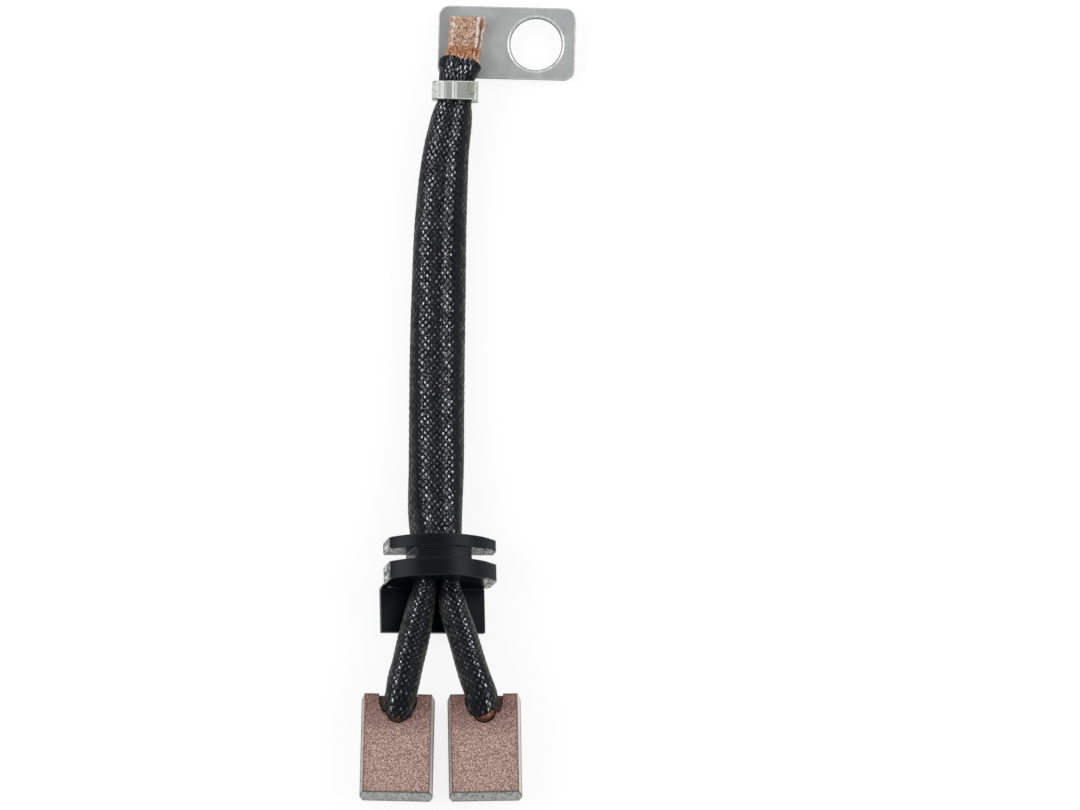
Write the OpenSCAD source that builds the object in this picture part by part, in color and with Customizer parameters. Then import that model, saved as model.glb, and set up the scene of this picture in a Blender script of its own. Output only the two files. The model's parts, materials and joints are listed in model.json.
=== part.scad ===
// Pair of starter-motor brushes on one terminal: a stamped terminal plate with a crimp
// strap, two copper ropes welded to it, an insulating sleeve over both ropes, a moulded
// grommet, a short sleeve on each rope below it, and a copper-graphite brush on each rope.
// Millimetres. The part lies on its back, the brushes point to -Y, and the origin is the
// centre of the stud hole at the plate's underside. The lead is stiff enough to hold the
// far edge of the plate a little off the surface, so that surface lies below the origin.

/* [Terminal plate] */
// Length of the plate, across the lead
plate_l = 22.4; // [18:0.1:30]
// Width of the plate, along the lead
plate_w = 11.8; // [10:0.1:16]
// Thickness of the stamped sheet, plate and strap alike
sheet_t = 1; // [0.6:0.1:1.6]
// Corner radius of the plate
plate_corner = 1.8; // [0.5:0.1:4]
// Diameter of the stud hole
hole_d = 8.4; // [6:0.1:9.5]
// Bevel round the upper mouth of the stud hole
hole_bevel = 0.35; // [0.1:0.05:0.6]
// Metal left between the stud hole and the right-hand end of the plate
hole_land = 2.2; // [1:0.1:4]
// Turn of the plate against the lead, clockwise from above
plate_turn = 1.5; // [0:0.5:5]
// Rise of the plate from the strap to its far edge
plate_pitch = 8.5; // [0:0.5:12]

/* [Crimp strap] */
// Width of the strap along the lead
strap_w = 3; // [2:0.1:4.5]
// Relief gap between the plate's edge and the strap
strap_gap = 1; // [0.5:0.1:2.5]
// From the plate's left-hand end to the middle of the strap
strap_inset = 3; // [2.8:0.05:6]
// Outer bend radius of the strap on its folded side
strap_bend = 2.4; // [1.5:0.1:3]
// Outer corner radius of the strap on its butted side
strap_corner = 0.8; // [0.5:0.1:2.4]

/* [Ropes and sleeves] */
// Length of the flattened rope ends that are welded to the plate
weld_l = 5.4; // [3:0.1:5.5]
// From the plate's lower edge to the start of the weld
weld_start = 4.6; // [4:0.1:5.5]
// From the plate's lower edge to the mouth of the long sleeve
mouth_gap = 1.9; // [1.5:0.1:2.2]
// Diameter of each copper rope
rope_d = 3.8; // [3:0.1:4.5]
// Wall of the braided sleeves
sleeve_wall = 0.6; // [0.4:0.1:1]
// Clearance between a rope and its sleeve, and between a sleeve and what holds it
sleeve_fit = 0.1; // [0.05:0.05:0.3]
// Clearance between two pieces that are crimped, welded or sintered together
seat_gap = 0.03; // [0.01:0.01:0.1]

/* [Grommet] */
// Length of the flanges across the lead
flange_l = 17.9; // [16:0.1:24]
// Height of the flat ends of the flanges
flange_end_h = 4.5; // [2:0.1:6]
// Rise of the arched front of the flanges above their ends
flange_arch = 4.3; // [2:0.1:6]
// How far the ends of the flanges stand off the back of the apron
flange_step = 2.3; // [1.5:0.1:4]
// Further rise of the back of the upper flange towards its right-hand end
flange_skew = 2.2; // [0:0.1:3]
// Thickness of the upper flange
flange_top_t = 2.05; // [1:0.05:4]
// Thickness of the lower flange
flange_low_t = 3; // [1:0.1:5]
// Width of the groove between the flanges
groove_w = 1.95; // [1:0.05:4]
// Wall of the grommet beside the passage, in the groove
neck_wall = 0.55; // [0.4:0.05:2]
// How far the neck is set back from the front of the flanges
neck_recess = 0.4; // [0.1:0.1:1.5]
// Width of the apron across the lead
apron_w = 17.4; // [12:0.1:24]
// Length of the apron below the lower flange
apron_l = 7.4; // [2:0.1:15]
// Thickness of the apron
apron_t = 1.1; // [0.8:0.1:1.1]
// Slant of the apron's lower edge
apron_slant = 1.2; // [0:0.2:3]
// Roll of the grommet on the lead
grommet_roll = 13; // [0:1:20]
// Turn of the grommet against the lead, anticlockwise from above
grommet_turn = 1.2; // [0:0.2:3]
// From the stud hole to the upper face of the grommet, along the lead
grommet_y = 84.4; // [70:0.1:120]

/* [Brushes] */
// Width of a brush
brush_w = 11.9; // [11:0.1:16]
// Length of a brush, from the rope end to the wear face
brush_l = 16.4; // [14:0.1:25]
// Thickness of a brush
brush_t = 7; // [6.5:0.1:10]
// Narrowing of each side towards the front face
front_bevel = 0.5; // [0.3:0.05:1.2]
// Narrowing of each side towards the back face
back_bevel = 0.45; // [0.2:0.05:1.2]
// Radius of the corners at the rope end
brush_corner = 0.6; // [0.2:0.1:1.5]
// Depth of the recess that takes the sleeve
recess_depth = 1.8; // [1:0.1:2.5]
// Slope of the rope hole against the front face
hole_slope = 60; // [50:1:75]
// From the rope end of the brush to the rope hole's axis, on the front face
hole_inset = 2.6; // [2:0.1:4]
// Depth of the rope hole's bottom above the back face
hole_floor = 2.2; // [1.5:0.1:3]

/* [Hidden] */
$fn = 64;

// -- derived sizes --
rope_r = rope_d / 2;
sleeve_grow = sleeve_fit + sleeve_wall;
sleeve_d = rope_d + 2 * sleeve_grow;
// Shares of a rope's radius that its half width and half height take where it is shaped
pad_wide = 0.76;
pad_high = 0.54;
crimp_wide = 0.53;
crimp_high = 0.84;
exit_wide = 0.68;
exit_high = 1.15;

// Terminal, flat, before it is raised and turned
plate_right = hole_d / 2 + hole_land;
plate_left = plate_right - plate_l;
plate_low = -plate_w / 2 + 0.1;
strap_x = plate_left + strap_inset;
strap_y = plate_low - strap_gap - strap_w / 2;
crimp_half_w = 2 * crimp_wide * rope_r + seat_gap + sleeve_grow;
crimp_half_h = crimp_high * rope_r + sleeve_grow;
strap_in_w = 2 * (crimp_half_w + seat_gap);
strap_in_h = 2 * (crimp_half_h + seat_gap);
strap_out_w = strap_in_w + 2 * sheet_t;
strap_out_h = strap_in_h + 2 * sheet_t;
crimp_z = sheet_t + strap_in_h / 2;
pad_z = sheet_t + seat_gap + pad_high * rope_r;

// Height of the surface that the part lies on, under the strap's lower edge
table_z = (strap_y - strap_w / 2) * sin(plate_pitch);

// Grommet: w is measured from the back of the apron, u across the lead
flange_front = flange_step + flange_end_h;
arch_r = (pow(flange_l / 2, 2) + pow(flange_arch, 2)) / (2 * flange_arch);
groove_y = flange_top_t + groove_w;
body_l = groove_y + flange_low_t;
passage_half_h = exit_high * rope_r + sleeve_grow + sleeve_fit;
exit_pitch = exit_wide * rope_r + seat_gap + sleeve_grow;
passage_half_w = exit_pitch + exit_wide * rope_r + sleeve_grow + sleeve_fit;
axis_w = apron_t + sleeve_fit + passage_half_h;
block_half = passage_half_w + neck_wall;
block_back = axis_w - passage_half_h - neck_wall;
// Where the passage's axis lies across the lead, and how far right of it the flanges sit
grommet_x = -16.3;
flange_shift = 0.5;
grommet_z = table_z + axis_w * cos(grommet_roll) + apron_w / 2 * sin(grommet_roll);

// Brushes: place of the middle of the rope end, and turn of the brush
brush_top_y = -109.9;
brush_places = [[-22.4, brush_top_y, -1.3], [-8.47, brush_top_y, 1]];
rope_hole_d = rope_d + 2 * sleeve_fit;
recess_w = sleeve_d + 1;

// -- small functions --
function turned(p, a) = [p[0] * cos(a) - p[1] * sin(a), p[0] * sin(a) + p[1] * cos(a)];
function unit(v) = v / norm(v);
function spow(x, e) = sign(x) * pow(abs(x), e);

// A point of the flat terminal, raised and turned as the terminal is
function on_terminal(x, y, z) = let (
    p = turned([x, y * cos(plate_pitch) - z * sin(plate_pitch)], -plate_turn))
    [p[0], p[1], y * sin(plate_pitch) + z * cos(plate_pitch)];

// A point of the grommet's passage, at distance d below its upper face
function on_grommet(d) =
    [grommet_x + d * sin(grommet_turn), -grommet_y - d * cos(grommet_turn), grommet_z];

// A point of a brush: u across it, s below its rope end, z above the surface
function on_brush(place, u, s, z) =
    let (p = turned([u, -s], place[2])) [place[0] + p[0], place[1] + p[1], table_z + z];

// How far below the rope end the rope hole's axis lies, at height z
function hole_at(z) = hole_inset + (brush_t - z) / tan(hole_slope);

// Catmull-Rom curve through rows of numbers, with k steps for each stretch
function between(a, b, c, d, t) =
    0.5 * (2 * b + (c - a) * t + (2 * a - 5 * b + 4 * c - d) * t * t
           + (3 * b - a - 3 * c + d) * t * t * t);
function smooth(rows, k) = let (n = len(rows) - 1) concat(
    [for (i = [0 : n - 1]) for (j = [0 : k - 1])
        between(rows[max(i - 1, 0)], rows[i], rows[i + 1], rows[min(i + 2, n)], j / k)],
    [rows[n]]);

// -- route of the lead --
// Each row of the lead: x, y, z, then half width and half height of one rope as shares of
// its radius, squareness, slack of the sleeve, room between the ropes, share of the roll
lie_z = table_z + rope_r + sleeve_grow + seat_gap;
strap_top = strap_y + strap_w / 2 + 0.35;
strap_foot = strap_y - strap_w / 2 - 0.2;
// A point near the strap: dx right of its middle, dy above the plate's lower edge
function by_strap(dx, dy, z) = on_terminal(strap_x + dx, plate_low + dy, z);
crimp_shape = [crimp_wide, crimp_high, 2, 0, 0, 0];
exit_shape = [exit_wide, exit_high, 2, 0, sleeve_grow, 1];
lead_rows = [
    concat(by_strap(2, weld_start + weld_l, pad_z), [pad_wide, pad_high, 6, 0, 0, 0.08]),
    concat(by_strap(1.85, weld_start + weld_l / 2, pad_z), [pad_wide, pad_high, 6, 0, 0, 0.08]),
    concat(by_strap(1.65, weld_start, pad_z + 0.09), [0.73, 0.57, 5, 0, 0, 0.07]),
    concat(by_strap(1.3, mouth_gap + 1.4, pad_z + 0.4), [0.71, 0.66, 3, 0, 0, 0]),
    concat(by_strap(0.85, mouth_gap, crimp_z + 0.02), [0.67, 0.7, 2, 0.5, 0, 0]),
    concat(by_strap(0.45, mouth_gap - 1.3, crimp_z + 0.06), [0.59, 0.77, 2, 0.4, 0, 0]),
    concat(on_terminal(strap_x, strap_top, crimp_z), crimp_shape),
    concat(on_terminal(strap_x, strap_y, crimp_z), crimp_shape),
    concat(on_terminal(strap_x, strap_foot, crimp_z), crimp_shape),
    [-13.6, -12, table_z + 3.45, 0.66, 0.86, 2, 0, 0, 0],
    [-14.1, -14.8, table_z + 3.3, 0.74, 0.9, 2, 0, 0, 0],
    [-14.7, -18.5, table_z + 3.05, 0.8, 0.95, 2, 0, 0, 0],
    [-15.2, -24, lie_z + 0.2, 0.88, 0.98, 2, 0, 0, 0],
    [-15.65, -32, lie_z, 0.94, 1, 2, 0, 0, 0],
    [-15.9, -42, lie_z, 0.98, 1, 2, 0, 0, 0],
    [-16.1, -52, lie_z, 1, 1, 2, 0, 0, 0],
    [-16.2, -62, lie_z + 0.3, 1, 1, 2, 0, 0, 0],
    [-16.25, -71, lie_z + 1.3, 1, 1, 2, 0, 0, 0.3],
    concat(on_grommet(-6) - [0, 0, 0.6], [0.99, 1, 2, 0, 0, 0.8]),
    concat(on_grommet(-1.6), [0.94, 1.03, 2, 0, 0, 1]),
    concat(on_grommet(0), [0.87, 1.05, 2, 0, 0, 1]),
    concat(on_grommet(2.8), [0.82, 1.06, 2, 0, 0, 1]),
    concat(on_grommet(body_l - 2.4), exit_shape),
    concat(on_grommet(body_l + 0.8), exit_shape)];
// Rows at which the long sleeve starts and ends
mouth_row = 4;
long_end_row = 21;

// Each row of a rope below the grommet: x, y, height, half width and half height as shares
// of its radius, share of the roll; then it dives into the brush, leaning by a little
over_brush = brush_t + 1.5;
left_route = [[-18.8, -95.5, 6.6, 0.86, 1.08, 0.6], [-19.9, -100.7, 7.3, 1, 1, 0.2],
              [-20.8, -104.9, 8.1, 1, 1, 0], [-21.5, -107.9, over_brush + 0.1, 1.05, 1, 0]];
right_route = [[-13.5, -95.5, 6.6, 0.86, 1.08, 0.6], [-11.85, -100.7, 7.3, 0.93, 1.03, 0.2],
               [-10.7, -104.9, 8.1, 0.97, 1, 0], [-9.8, -107.9, over_brush + 0.1, 1, 1, 0]];
function tail_rows(route, place, lean) = concat(
    [for (r = route) [r[0], r[1], table_z + r[2], r[3], r[4], r[5]]],
    [concat(on_brush(place, lean, 0.2, over_brush), [1, 1, 0]),
     concat(on_brush(place, 0.4 * lean, 1.7, brush_t + 0.85), [1, 1, 0])],
    [for (k = [0 : 3]) let (z = brush_t - 0.2 - k * (brush_t - 0.2 - hole_floor) / 3)
        concat(on_brush(place, 0, hole_at(z), z), [1, 1, 0])]);

// -- rings --
lead_steps = 2;
rope_sides = 12;
sleeve_sides = 20;
// Ring of a rope below the grommet at which its sleeve ends, over the mouth of the hole
sleeve_end = 15;
lead = smooth(lead_rows, lead_steps);
function spot(row) = [row[0], row[1], row[2]];
function heading(rows, i) =
    unit(spot(rows[min(i + 1, len(rows) - 1)]) - spot(rows[max(i - 1, 0)]));
// Sideways at a ring, rolled
function across(t, roll) =
    let (l = unit(cross([0, 0, 1], t))) l * cos(roll) - cross(t, l) * sin(roll);
// An outline's points set square to the heading t, or slanted by a share of their width
function placed(p, t, roll, outline, slant = 0) =
    let (l = across(t, roll), u = cross(t, l))
    [for (q = outline) p + q[0] * (l + slant * t) + q[1] * u];

// Outline of one rope, as a rounded figure between an ellipse and a rectangle
function rope_outline(x, a, b, n, sides) = [for (i = [0 : sides - 1])
    let (g = 360 * (i + 0.5) / sides)
    [x + a * spow(cos(g), 2 / n), b * spow(sin(g), 2 / n)]];

// Outline round both ropes: an ellipse over each rope and a shallow valley between them
function pair_outline(c, a, b, dip, lobe = 8) = let (mid = 3) concat(
    [for (i = [0 : lobe]) let (g = -90 + 180 * i / lobe) [c + a * cos(g), b * sin(g)]],
    [for (i = [1 : mid]) let (x = c * (1 - 2 * i / (mid + 1)))
        [x, b - dip * pow(cos(90 * x / c), 2)]],
    [for (i = [0 : lobe]) let (g = 90 + 180 * i / lobe) [-c + a * cos(g), b * sin(g)]],
    [for (i = [1 : mid]) let (x = c * (2 * i / (mid + 1) - 1))
        [x, dip * pow(cos(90 * x / c), 2) - b]]);

// Half width and half height of one rope, and its distance from the middle of the pair
function half_w(row) = row[3] * rope_r;
function half_h(row) = row[4] * rope_r;
function half_pitch(row) = half_w(row) + seat_gap + max(row[7], 0);
// The loose mouth of the long sleeve stays square to the plate
function mouth_slant(row) = -0.55 * max(row[6], 0);

function lead_rope_rings(side) = [for (i = [0 : len(lead) - 1])
    let (r = lead[i], outline = rope_outline(side * half_pitch(r), half_w(r), half_h(r),
                                             r[5], rope_sides))
    placed(spot(r), heading(lead, i), r[8] * grommet_roll, outline, mouth_slant(r))];
function lead_rope_row(side, i) =
    let (r = lead[i], l = across(heading(lead, i), r[8] * grommet_roll))
    concat(spot(r) + side * half_pitch(r) * l, [r[3], r[4], r[8]]);

// Rows of a tail, from inside the grommet to the end of the rope
function tail(side, route, place) = let (n = len(lead) - 1)
    smooth(concat([lead_rope_row(side, n - 2), lead_rope_row(side, n)],
                  tail_rows(route, place, -0.5 * side)), 2);
function tail_rings(rows, grow, from, to, sides, slant = 0) = [for (i = [from : to])
    let (r = rows[i], outline = rope_outline(0, half_w(r) + grow, half_h(r) + grow, 2, sides))
    placed(spot(r), heading(rows, i), r[5] * grommet_roll, outline, i == to ? slant : 0)];

// -- solids from rings --
module skin(rings) {
    n = len(rings[0]);
    m = len(rings) - 1;
    polyhedron(
        points = [for (r = rings) for (p = r) p],
        faces = concat(
            [[for (i = [0 : n - 1]) i]],
            [for (j = [0 : m - 1]) for (i = [0 : n - 1])
                let (a = j * n + i, b = j * n + (i + 1) % n) each [[a, a + n, b], [b, a + n, b + n]]],
            [[for (i = [n - 1 : -1 : 0]) m * n + i]]),
        convexity = 8);
}

// A tube: outer rings and as many inner rings, joined at both ends
module tube(outer, inner) {
    n = len(outer[0]);
    m = len(outer) - 1;
    k = (m + 1) * n;
    polyhedron(
        points = concat([for (r = outer) for (p = r) p], [for (r = inner) for (p = r) p]),
        faces = concat(
            [for (j = [0 : m - 1]) for (i = [0 : n - 1])
                let (a = j * n + i, b = j * n + (i + 1) % n) each [[a, a + n, b], [b, a + n, b + n]]],
            [for (j = [0 : m - 1]) for (i = [0 : n - 1])
                let (a = k + j * n + i, b = k + j * n + (i + 1) % n)
                each [[a, b, a + n], [b, b + n, a + n]]],
            [for (i = [0 : n - 1])
                let (b = (i + 1) % n) each [[i, b, k + i], [b, k + b, k + i]]],
            [for (i = [0 : n - 1])
                let (a = m * n + i, b = m * n + (i + 1) % n) each [[a, k + a, b], [b, k + a, k + b]]]),
        convexity = 8);
}

// -- pieces --
// A rectangle with one corner radius on its left-hand side and another on its right
module rounded_plate(w, h, left_r, right_r) {
    union() {
        translate([0, left_r]) square([left_r, h - 2 * left_r]);
        translate([left_r, 0]) square([w - left_r - right_r, h]);
        translate([w - right_r, right_r]) square([right_r, h - 2 * right_r]);
        for (y = [left_r, h - left_r]) translate([left_r, y]) circle(left_r);
        for (y = [right_r, h - right_r]) translate([w - right_r, y]) circle(right_r);
    }
}

// Ring of the strap, seen along the lead: folded on the left, butted on the right
module strap_profile() {
    inner_bend = strap_bend - sheet_t;
    inner_corner = max(strap_corner - sheet_t, 0.2);
    difference() {
        translate([-strap_out_w / 2, 0])
            rounded_plate(strap_out_w, strap_out_h, strap_bend, strap_corner);
        translate([-strap_in_w / 2, sheet_t])
            rounded_plate(strap_in_w, strap_in_h, inner_bend, inner_corner);
        // Butt joint between the right-hand wing and the lap over the front
        translate([strap_in_w / 2 - sheet_t, strap_out_h - sheet_t - strap_bend / 2])
            square([3 * sheet_t, 0.15]);
    }
}

module terminal() {
    neck_w = strap_in_w - 0.4;
    mark_w = 1.1;
    color("silver") rotate([plate_pitch, 0, -plate_turn]) {
        difference() {
            union() {
                translate([plate_left, plate_low, 0])
                    linear_extrude(sheet_t)
                    rounded_plate(plate_l, plate_w, plate_corner, plate_corner);
                translate([strap_x - neck_w / 2, strap_y, 0])
                    cube([neck_w, plate_low - strap_y + plate_corner, sheet_t]);
            }
            translate([0, 0, -1]) cylinder(d = hole_d, h = sheet_t + 2);
            translate([0, 0, sheet_t - hole_bevel])
                cylinder(d1 = hole_d, d2 = hole_d + 4 * hole_bevel, h = 2 * hole_bevel);
        }
        difference() {
            translate([strap_x, strap_y + strap_w / 2, 0]) rotate([90, 0, 0])
                linear_extrude(strap_w) strap_profile();
            // Oval mark of the crimping punch on the lap
            translate([strap_x + strap_in_w / 2 - mark_w / 2, strap_y, strap_out_h - 0.12])
                for (y = [-0.5, 0.5]) translate([0, y, 0]) cylinder(d = mark_w, h = 1, $fn = 32);
        }
    }
}

module rope(side, route, place) {
    rows = tail(side, route, place);
    color("peru")
        skin(concat(lead_rope_rings(side), tail_rings(rows, 0, 3, len(rows) - 1, rope_sides)));
}

module long_sleeve() {
    dip = 0.5;
    function rings(grow) = [for (i = [mouth_row * lead_steps : long_end_row * lead_steps])
        let (r = lead[i], slack = max(r[6], 0), g = grow + slack)
        placed(spot(r), heading(lead, i), r[8] * grommet_roll,
               [for (q = pair_outline(half_pitch(r), half_w(r) + g, half_h(r) + g, dip))
                   q + slack * [-0.6, 0.7]], mouth_slant(r))];
    color([0.12, 0.13, 0.14]) tube(rings(sleeve_grow), rings(sleeve_fit));
}

// The slant of its lower end is a share of the sleeve's width
module short_sleeve(side, route, place, slant) {
    rows = tail(side, route, place);
    color([0.12, 0.13, 0.14]) tube(
        tail_rings(rows, sleeve_grow, 0, sleeve_end, sleeve_sides, slant),
        tail_rings(rows, sleeve_fit, 0, sleeve_end, sleeve_sides, slant));
}

// Back of the body round the passage, with its corners cut
module block_outline() {
    cut = block_half / 2;
    polygon([[-block_half, block_back + cut], [cut - block_half, block_back],
             [block_half - cut, block_back], [block_half, block_back + cut],
             [block_half, flange_front], [-block_half, flange_front]]);
}

// Flat ends and arched front of a flange; back_points are its lower edge, left to right
module flange_outline(back_points) {
    half = flange_l / 2;
    block_outline();
    translate([flange_shift, 0]) intersection() {
        polygon(concat(back_points,
                       [[half, flange_front + flange_arch], [-half, flange_front + flange_arch]]));
        translate([0, flange_front + flange_arch - arch_r]) circle(arch_r, $fn = 128);
    }
}

module neck_outline() {
    block_outline();
    intersection() {
        translate([-block_half, flange_step])
            square([2 * block_half, flange_end_h + flange_arch]);
        translate([flange_shift, flange_front + flange_arch - arch_r])
            circle(arch_r - neck_recess, $fn = 128);
    }
}

module passage_outline() {
    polygon(pair_outline(exit_pitch, passage_half_w - exit_pitch, passage_half_h, 0, 16));
}

module grommet() {
    shoulder = 2;
    half = flange_l / 2;
    half_apron = apron_w / 2;
    cut = flange_step - apron_t + 0.2;
    slant = half_apron * tan(apron_slant);
    color([0.08, 0.08, 0.09]) translate([grommet_x, -grommet_y, grommet_z])
        rotate([0, 0, grommet_turn]) rotate([0, grommet_roll, 0]) rotate([90, 0, 0])
        difference() {
            translate([0, -axis_w, 0]) union() {
                linear_extrude(flange_top_t)
                    flange_outline([[-half, flange_step], [half, flange_step + flange_skew]]);
                linear_extrude(body_l) neck_outline();
                translate([0, 0, groove_y]) linear_extrude(flange_low_t)
                    flange_outline([[-half, flange_step], [cut - half, flange_step - cut],
                                    [half - cut, flange_step - cut], [half, flange_step]]);
                // Apron, with its upper corners cut
                translate([0, 0, body_l]) rotate([-90, 0, 0]) linear_extrude(apron_t)
                    polygon([[-half_apron, -apron_l - slant], [half_apron, slant - apron_l],
                             [half_apron, 0], [half_apron - shoulder, shoulder],
                             [shoulder - half_apron, shoulder], [-half_apron, 0]]);
            }
            translate([0, 0, -1]) linear_extrude(body_l + 1.01) passage_outline();
        }
}

module brush(place) {
    half = brush_w / 2;
    front_z = 0.55 * brush_t;
    back_z = 0.35 * brush_t;
    neck = rope_hole_d / 2 + 0.5;
    shoulder = 1.7;
    hole_len = brush_t - hole_floor + 6;
    color([0.62, 0.42, 0.37]) translate([place[0], place[1], table_z]) rotate([0, 0, place[2]])
        difference() {
            intersection() {
                rotate([90, 0, 0]) linear_extrude(brush_l)
                    polygon([[back_bevel - half, 0], [half - back_bevel, 0],
                             [half, back_z], [half, front_z],
                             [half - front_bevel, brush_t], [front_bevel - half, brush_t],
                             [-half, front_z], [-half, back_z]]);
                // Rounded corners at the rope end
                translate([0, 0, -1]) linear_extrude(brush_t + 2) union() {
                    translate([-half, -brush_l]) square([brush_w, brush_l - brush_corner]);
                    translate([brush_corner - half, -brush_l])
                        square([brush_w - 2 * brush_corner, brush_l]);
                    for (x = [brush_corner - half, half - brush_corner])
                        translate([x, -brush_corner]) circle(brush_corner);
                }
            }
            // Recess for the sleeve, narrowing to the rope hole
            translate([0, 0, brush_t - recess_depth]) linear_extrude(recess_depth + 1)
                polygon([[-recess_w / 2, 1], [recess_w / 2, 1], [recess_w / 2, -shoulder],
                         [neck, -hole_inset - 0.6], [-neck, -hole_inset - 0.6],
                         [-recess_w / 2, -shoulder]]);
            // Blind hole for the rope
            translate([0, -hole_inset, brush_t]) rotate([hole_slope - 90, 0, 0])
                translate([0, 0, -hole_len + 4])
                    cylinder(d = rope_hole_d, h = hole_len);
        }
}

terminal();
rope(-1, left_route, brush_places[0]);  // rope_left
rope(1, right_route, brush_places[1]);  // rope_right
long_sleeve();
grommet();
short_sleeve(-1, left_route, brush_places[0], 0.2);  // sleeve_left
short_sleeve(1, right_route, brush_places[1], -0.2);  // sleeve_right
brush(brush_places[0]);  // brush_left
brush(brush_places[1]);  // brush_right
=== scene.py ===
import json
import math
import random

import bpy
from mathutils import Matrix, Vector, noise

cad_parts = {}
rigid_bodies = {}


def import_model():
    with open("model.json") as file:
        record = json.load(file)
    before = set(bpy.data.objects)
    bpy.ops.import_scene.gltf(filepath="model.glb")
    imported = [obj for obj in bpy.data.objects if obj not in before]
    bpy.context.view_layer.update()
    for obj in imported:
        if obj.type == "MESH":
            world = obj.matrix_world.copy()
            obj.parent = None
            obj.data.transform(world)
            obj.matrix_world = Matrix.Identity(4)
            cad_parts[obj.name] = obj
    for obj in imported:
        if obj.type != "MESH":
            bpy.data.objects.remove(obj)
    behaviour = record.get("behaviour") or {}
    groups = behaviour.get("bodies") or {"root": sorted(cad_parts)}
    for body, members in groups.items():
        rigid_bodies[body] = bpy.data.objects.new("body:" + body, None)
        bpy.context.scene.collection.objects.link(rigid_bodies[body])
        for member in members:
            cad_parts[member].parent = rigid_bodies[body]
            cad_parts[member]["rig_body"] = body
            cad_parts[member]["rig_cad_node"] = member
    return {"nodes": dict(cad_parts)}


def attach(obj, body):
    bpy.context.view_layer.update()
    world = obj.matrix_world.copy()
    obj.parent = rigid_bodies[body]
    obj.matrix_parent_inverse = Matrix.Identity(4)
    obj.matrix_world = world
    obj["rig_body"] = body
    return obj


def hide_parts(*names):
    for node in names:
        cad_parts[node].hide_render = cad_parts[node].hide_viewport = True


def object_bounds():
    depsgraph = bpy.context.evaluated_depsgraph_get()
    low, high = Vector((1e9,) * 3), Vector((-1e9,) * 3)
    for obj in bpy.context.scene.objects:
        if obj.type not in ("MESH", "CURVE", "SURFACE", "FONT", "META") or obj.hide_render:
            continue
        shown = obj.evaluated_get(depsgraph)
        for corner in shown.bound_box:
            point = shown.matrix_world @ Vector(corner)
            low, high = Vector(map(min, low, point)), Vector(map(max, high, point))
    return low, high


bl_info = {
    "name": "Starter Brush Set",
    "version": (1, 0, 0),
    "blender": (4, 5, 0),
    "location": "3D View > Sidebar > Brush Set",
    "description": "Dresses a pair of sleeved carbon brushes on one terminal",
    "category": "Object",
}

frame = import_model()
CAD_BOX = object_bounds()
NODES = frame["nodes"]
MM = 0.001
TABLE = CAD_BOX[0].z / MM

# ------------------------------------------------------------------ route of the lead
# The same rows as the solids have, in millimetres, in the part's own frame.
PLATE_PITCH, PLATE_TURN = math.radians(8.5), math.radians(-1.5)
GROMMET_ROLL, GROMMET_TURN = math.radians(13), math.radians(1.2)
ROPE_R, SLEEVE_WALL, SLEEVE_FIT, SEAT_GAP = 1.9, 0.6, 0.1, 0.03
SLEEVE_GROW = SLEEVE_WALL + SLEEVE_FIT
SHEET_T, PLATE_LOW, STRAP_X, STRAP_Y, STRAP_W = 1.0, -5.8, -13.0, -8.3, 3.0
WELD_START, WELD_L, MOUTH_GAP = 4.6, 5.4, 1.9
PAD_Z, CRIMP_Z = 2.056, 3.326
GROMMET_X, GROMMET_Y, BODY_L, AXIS_W, APRON_W = -16.3, 84.4, 7.0, 4.185, 17.4
GROMMET_Z = TABLE + AXIS_W * math.cos(GROMMET_ROLL) + APRON_W / 2 * math.sin(GROMMET_ROLL)
LIE_Z = TABLE + ROPE_R + SLEEVE_GROW + SEAT_GAP
BRUSH_T, HOLE_FLOOR, HOLE_INSET = 7.0, 2.2, 2.6
HOLE_SLOPE = math.radians(60)
BRUSH_PLACES = {
    "brush_left": (-22.4, -109.9, math.radians(-1.3)),
    "brush_right": (-8.47, -109.9, math.radians(1.0)),
}
# Rows of the lead where the long sleeve starts and ends
MOUTH_ROW, LONG_END_ROW = 4, 21
# Steps of a sleeve's curve between two rows, and the cells and points round each kind of sleeve
FINE = 12
LONG_CELLS, LONG_POINTS = 24, 192
SHORT_CELLS, SHORT_POINTS = 16, 128
# The finishes of a block, in the order of its list
FACE, SIDE, WEAR, SOCKET, EDGE_SHADE = range(5)
# The middle and the half sizes of the punch mark on the strap
MARK_X, MARK_Y, MARK_W, MARK_H = -10.45, -8.55, 0.55, 0.95


def on_terminal(x, y, z):
    """A point of the flat terminal, raised and turned as the terminal is."""
    lie = Matrix.Rotation(PLATE_TURN, 3, "Z") @ Matrix.Rotation(PLATE_PITCH, 3, "X")
    return lie @ Vector((x, y, z))


def by_strap(dx, dy, z):
    """A point near the strap: dx right of its middle, dy above the plate's lower edge."""
    return on_terminal(STRAP_X + dx, PLATE_LOW + dy, z)


def on_grommet(d):
    """A point of the grommet's passage, at distance d below its upper face."""
    return Vector((GROMMET_X + d * math.sin(GROMMET_TURN), -GROMMET_Y - d * math.cos(GROMMET_TURN), GROMMET_Z))


def on_brush(place, u, s, z):
    """A point of a block: u across it, s below its rope end, z above the table."""
    p = Matrix.Rotation(place[2], 3, "Z") @ Vector((u, -s, 0))
    return Vector((place[0] + p.x, place[1] + p.y, TABLE + z))


def row(point, *shape):
    return tuple(point) + shape


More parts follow.
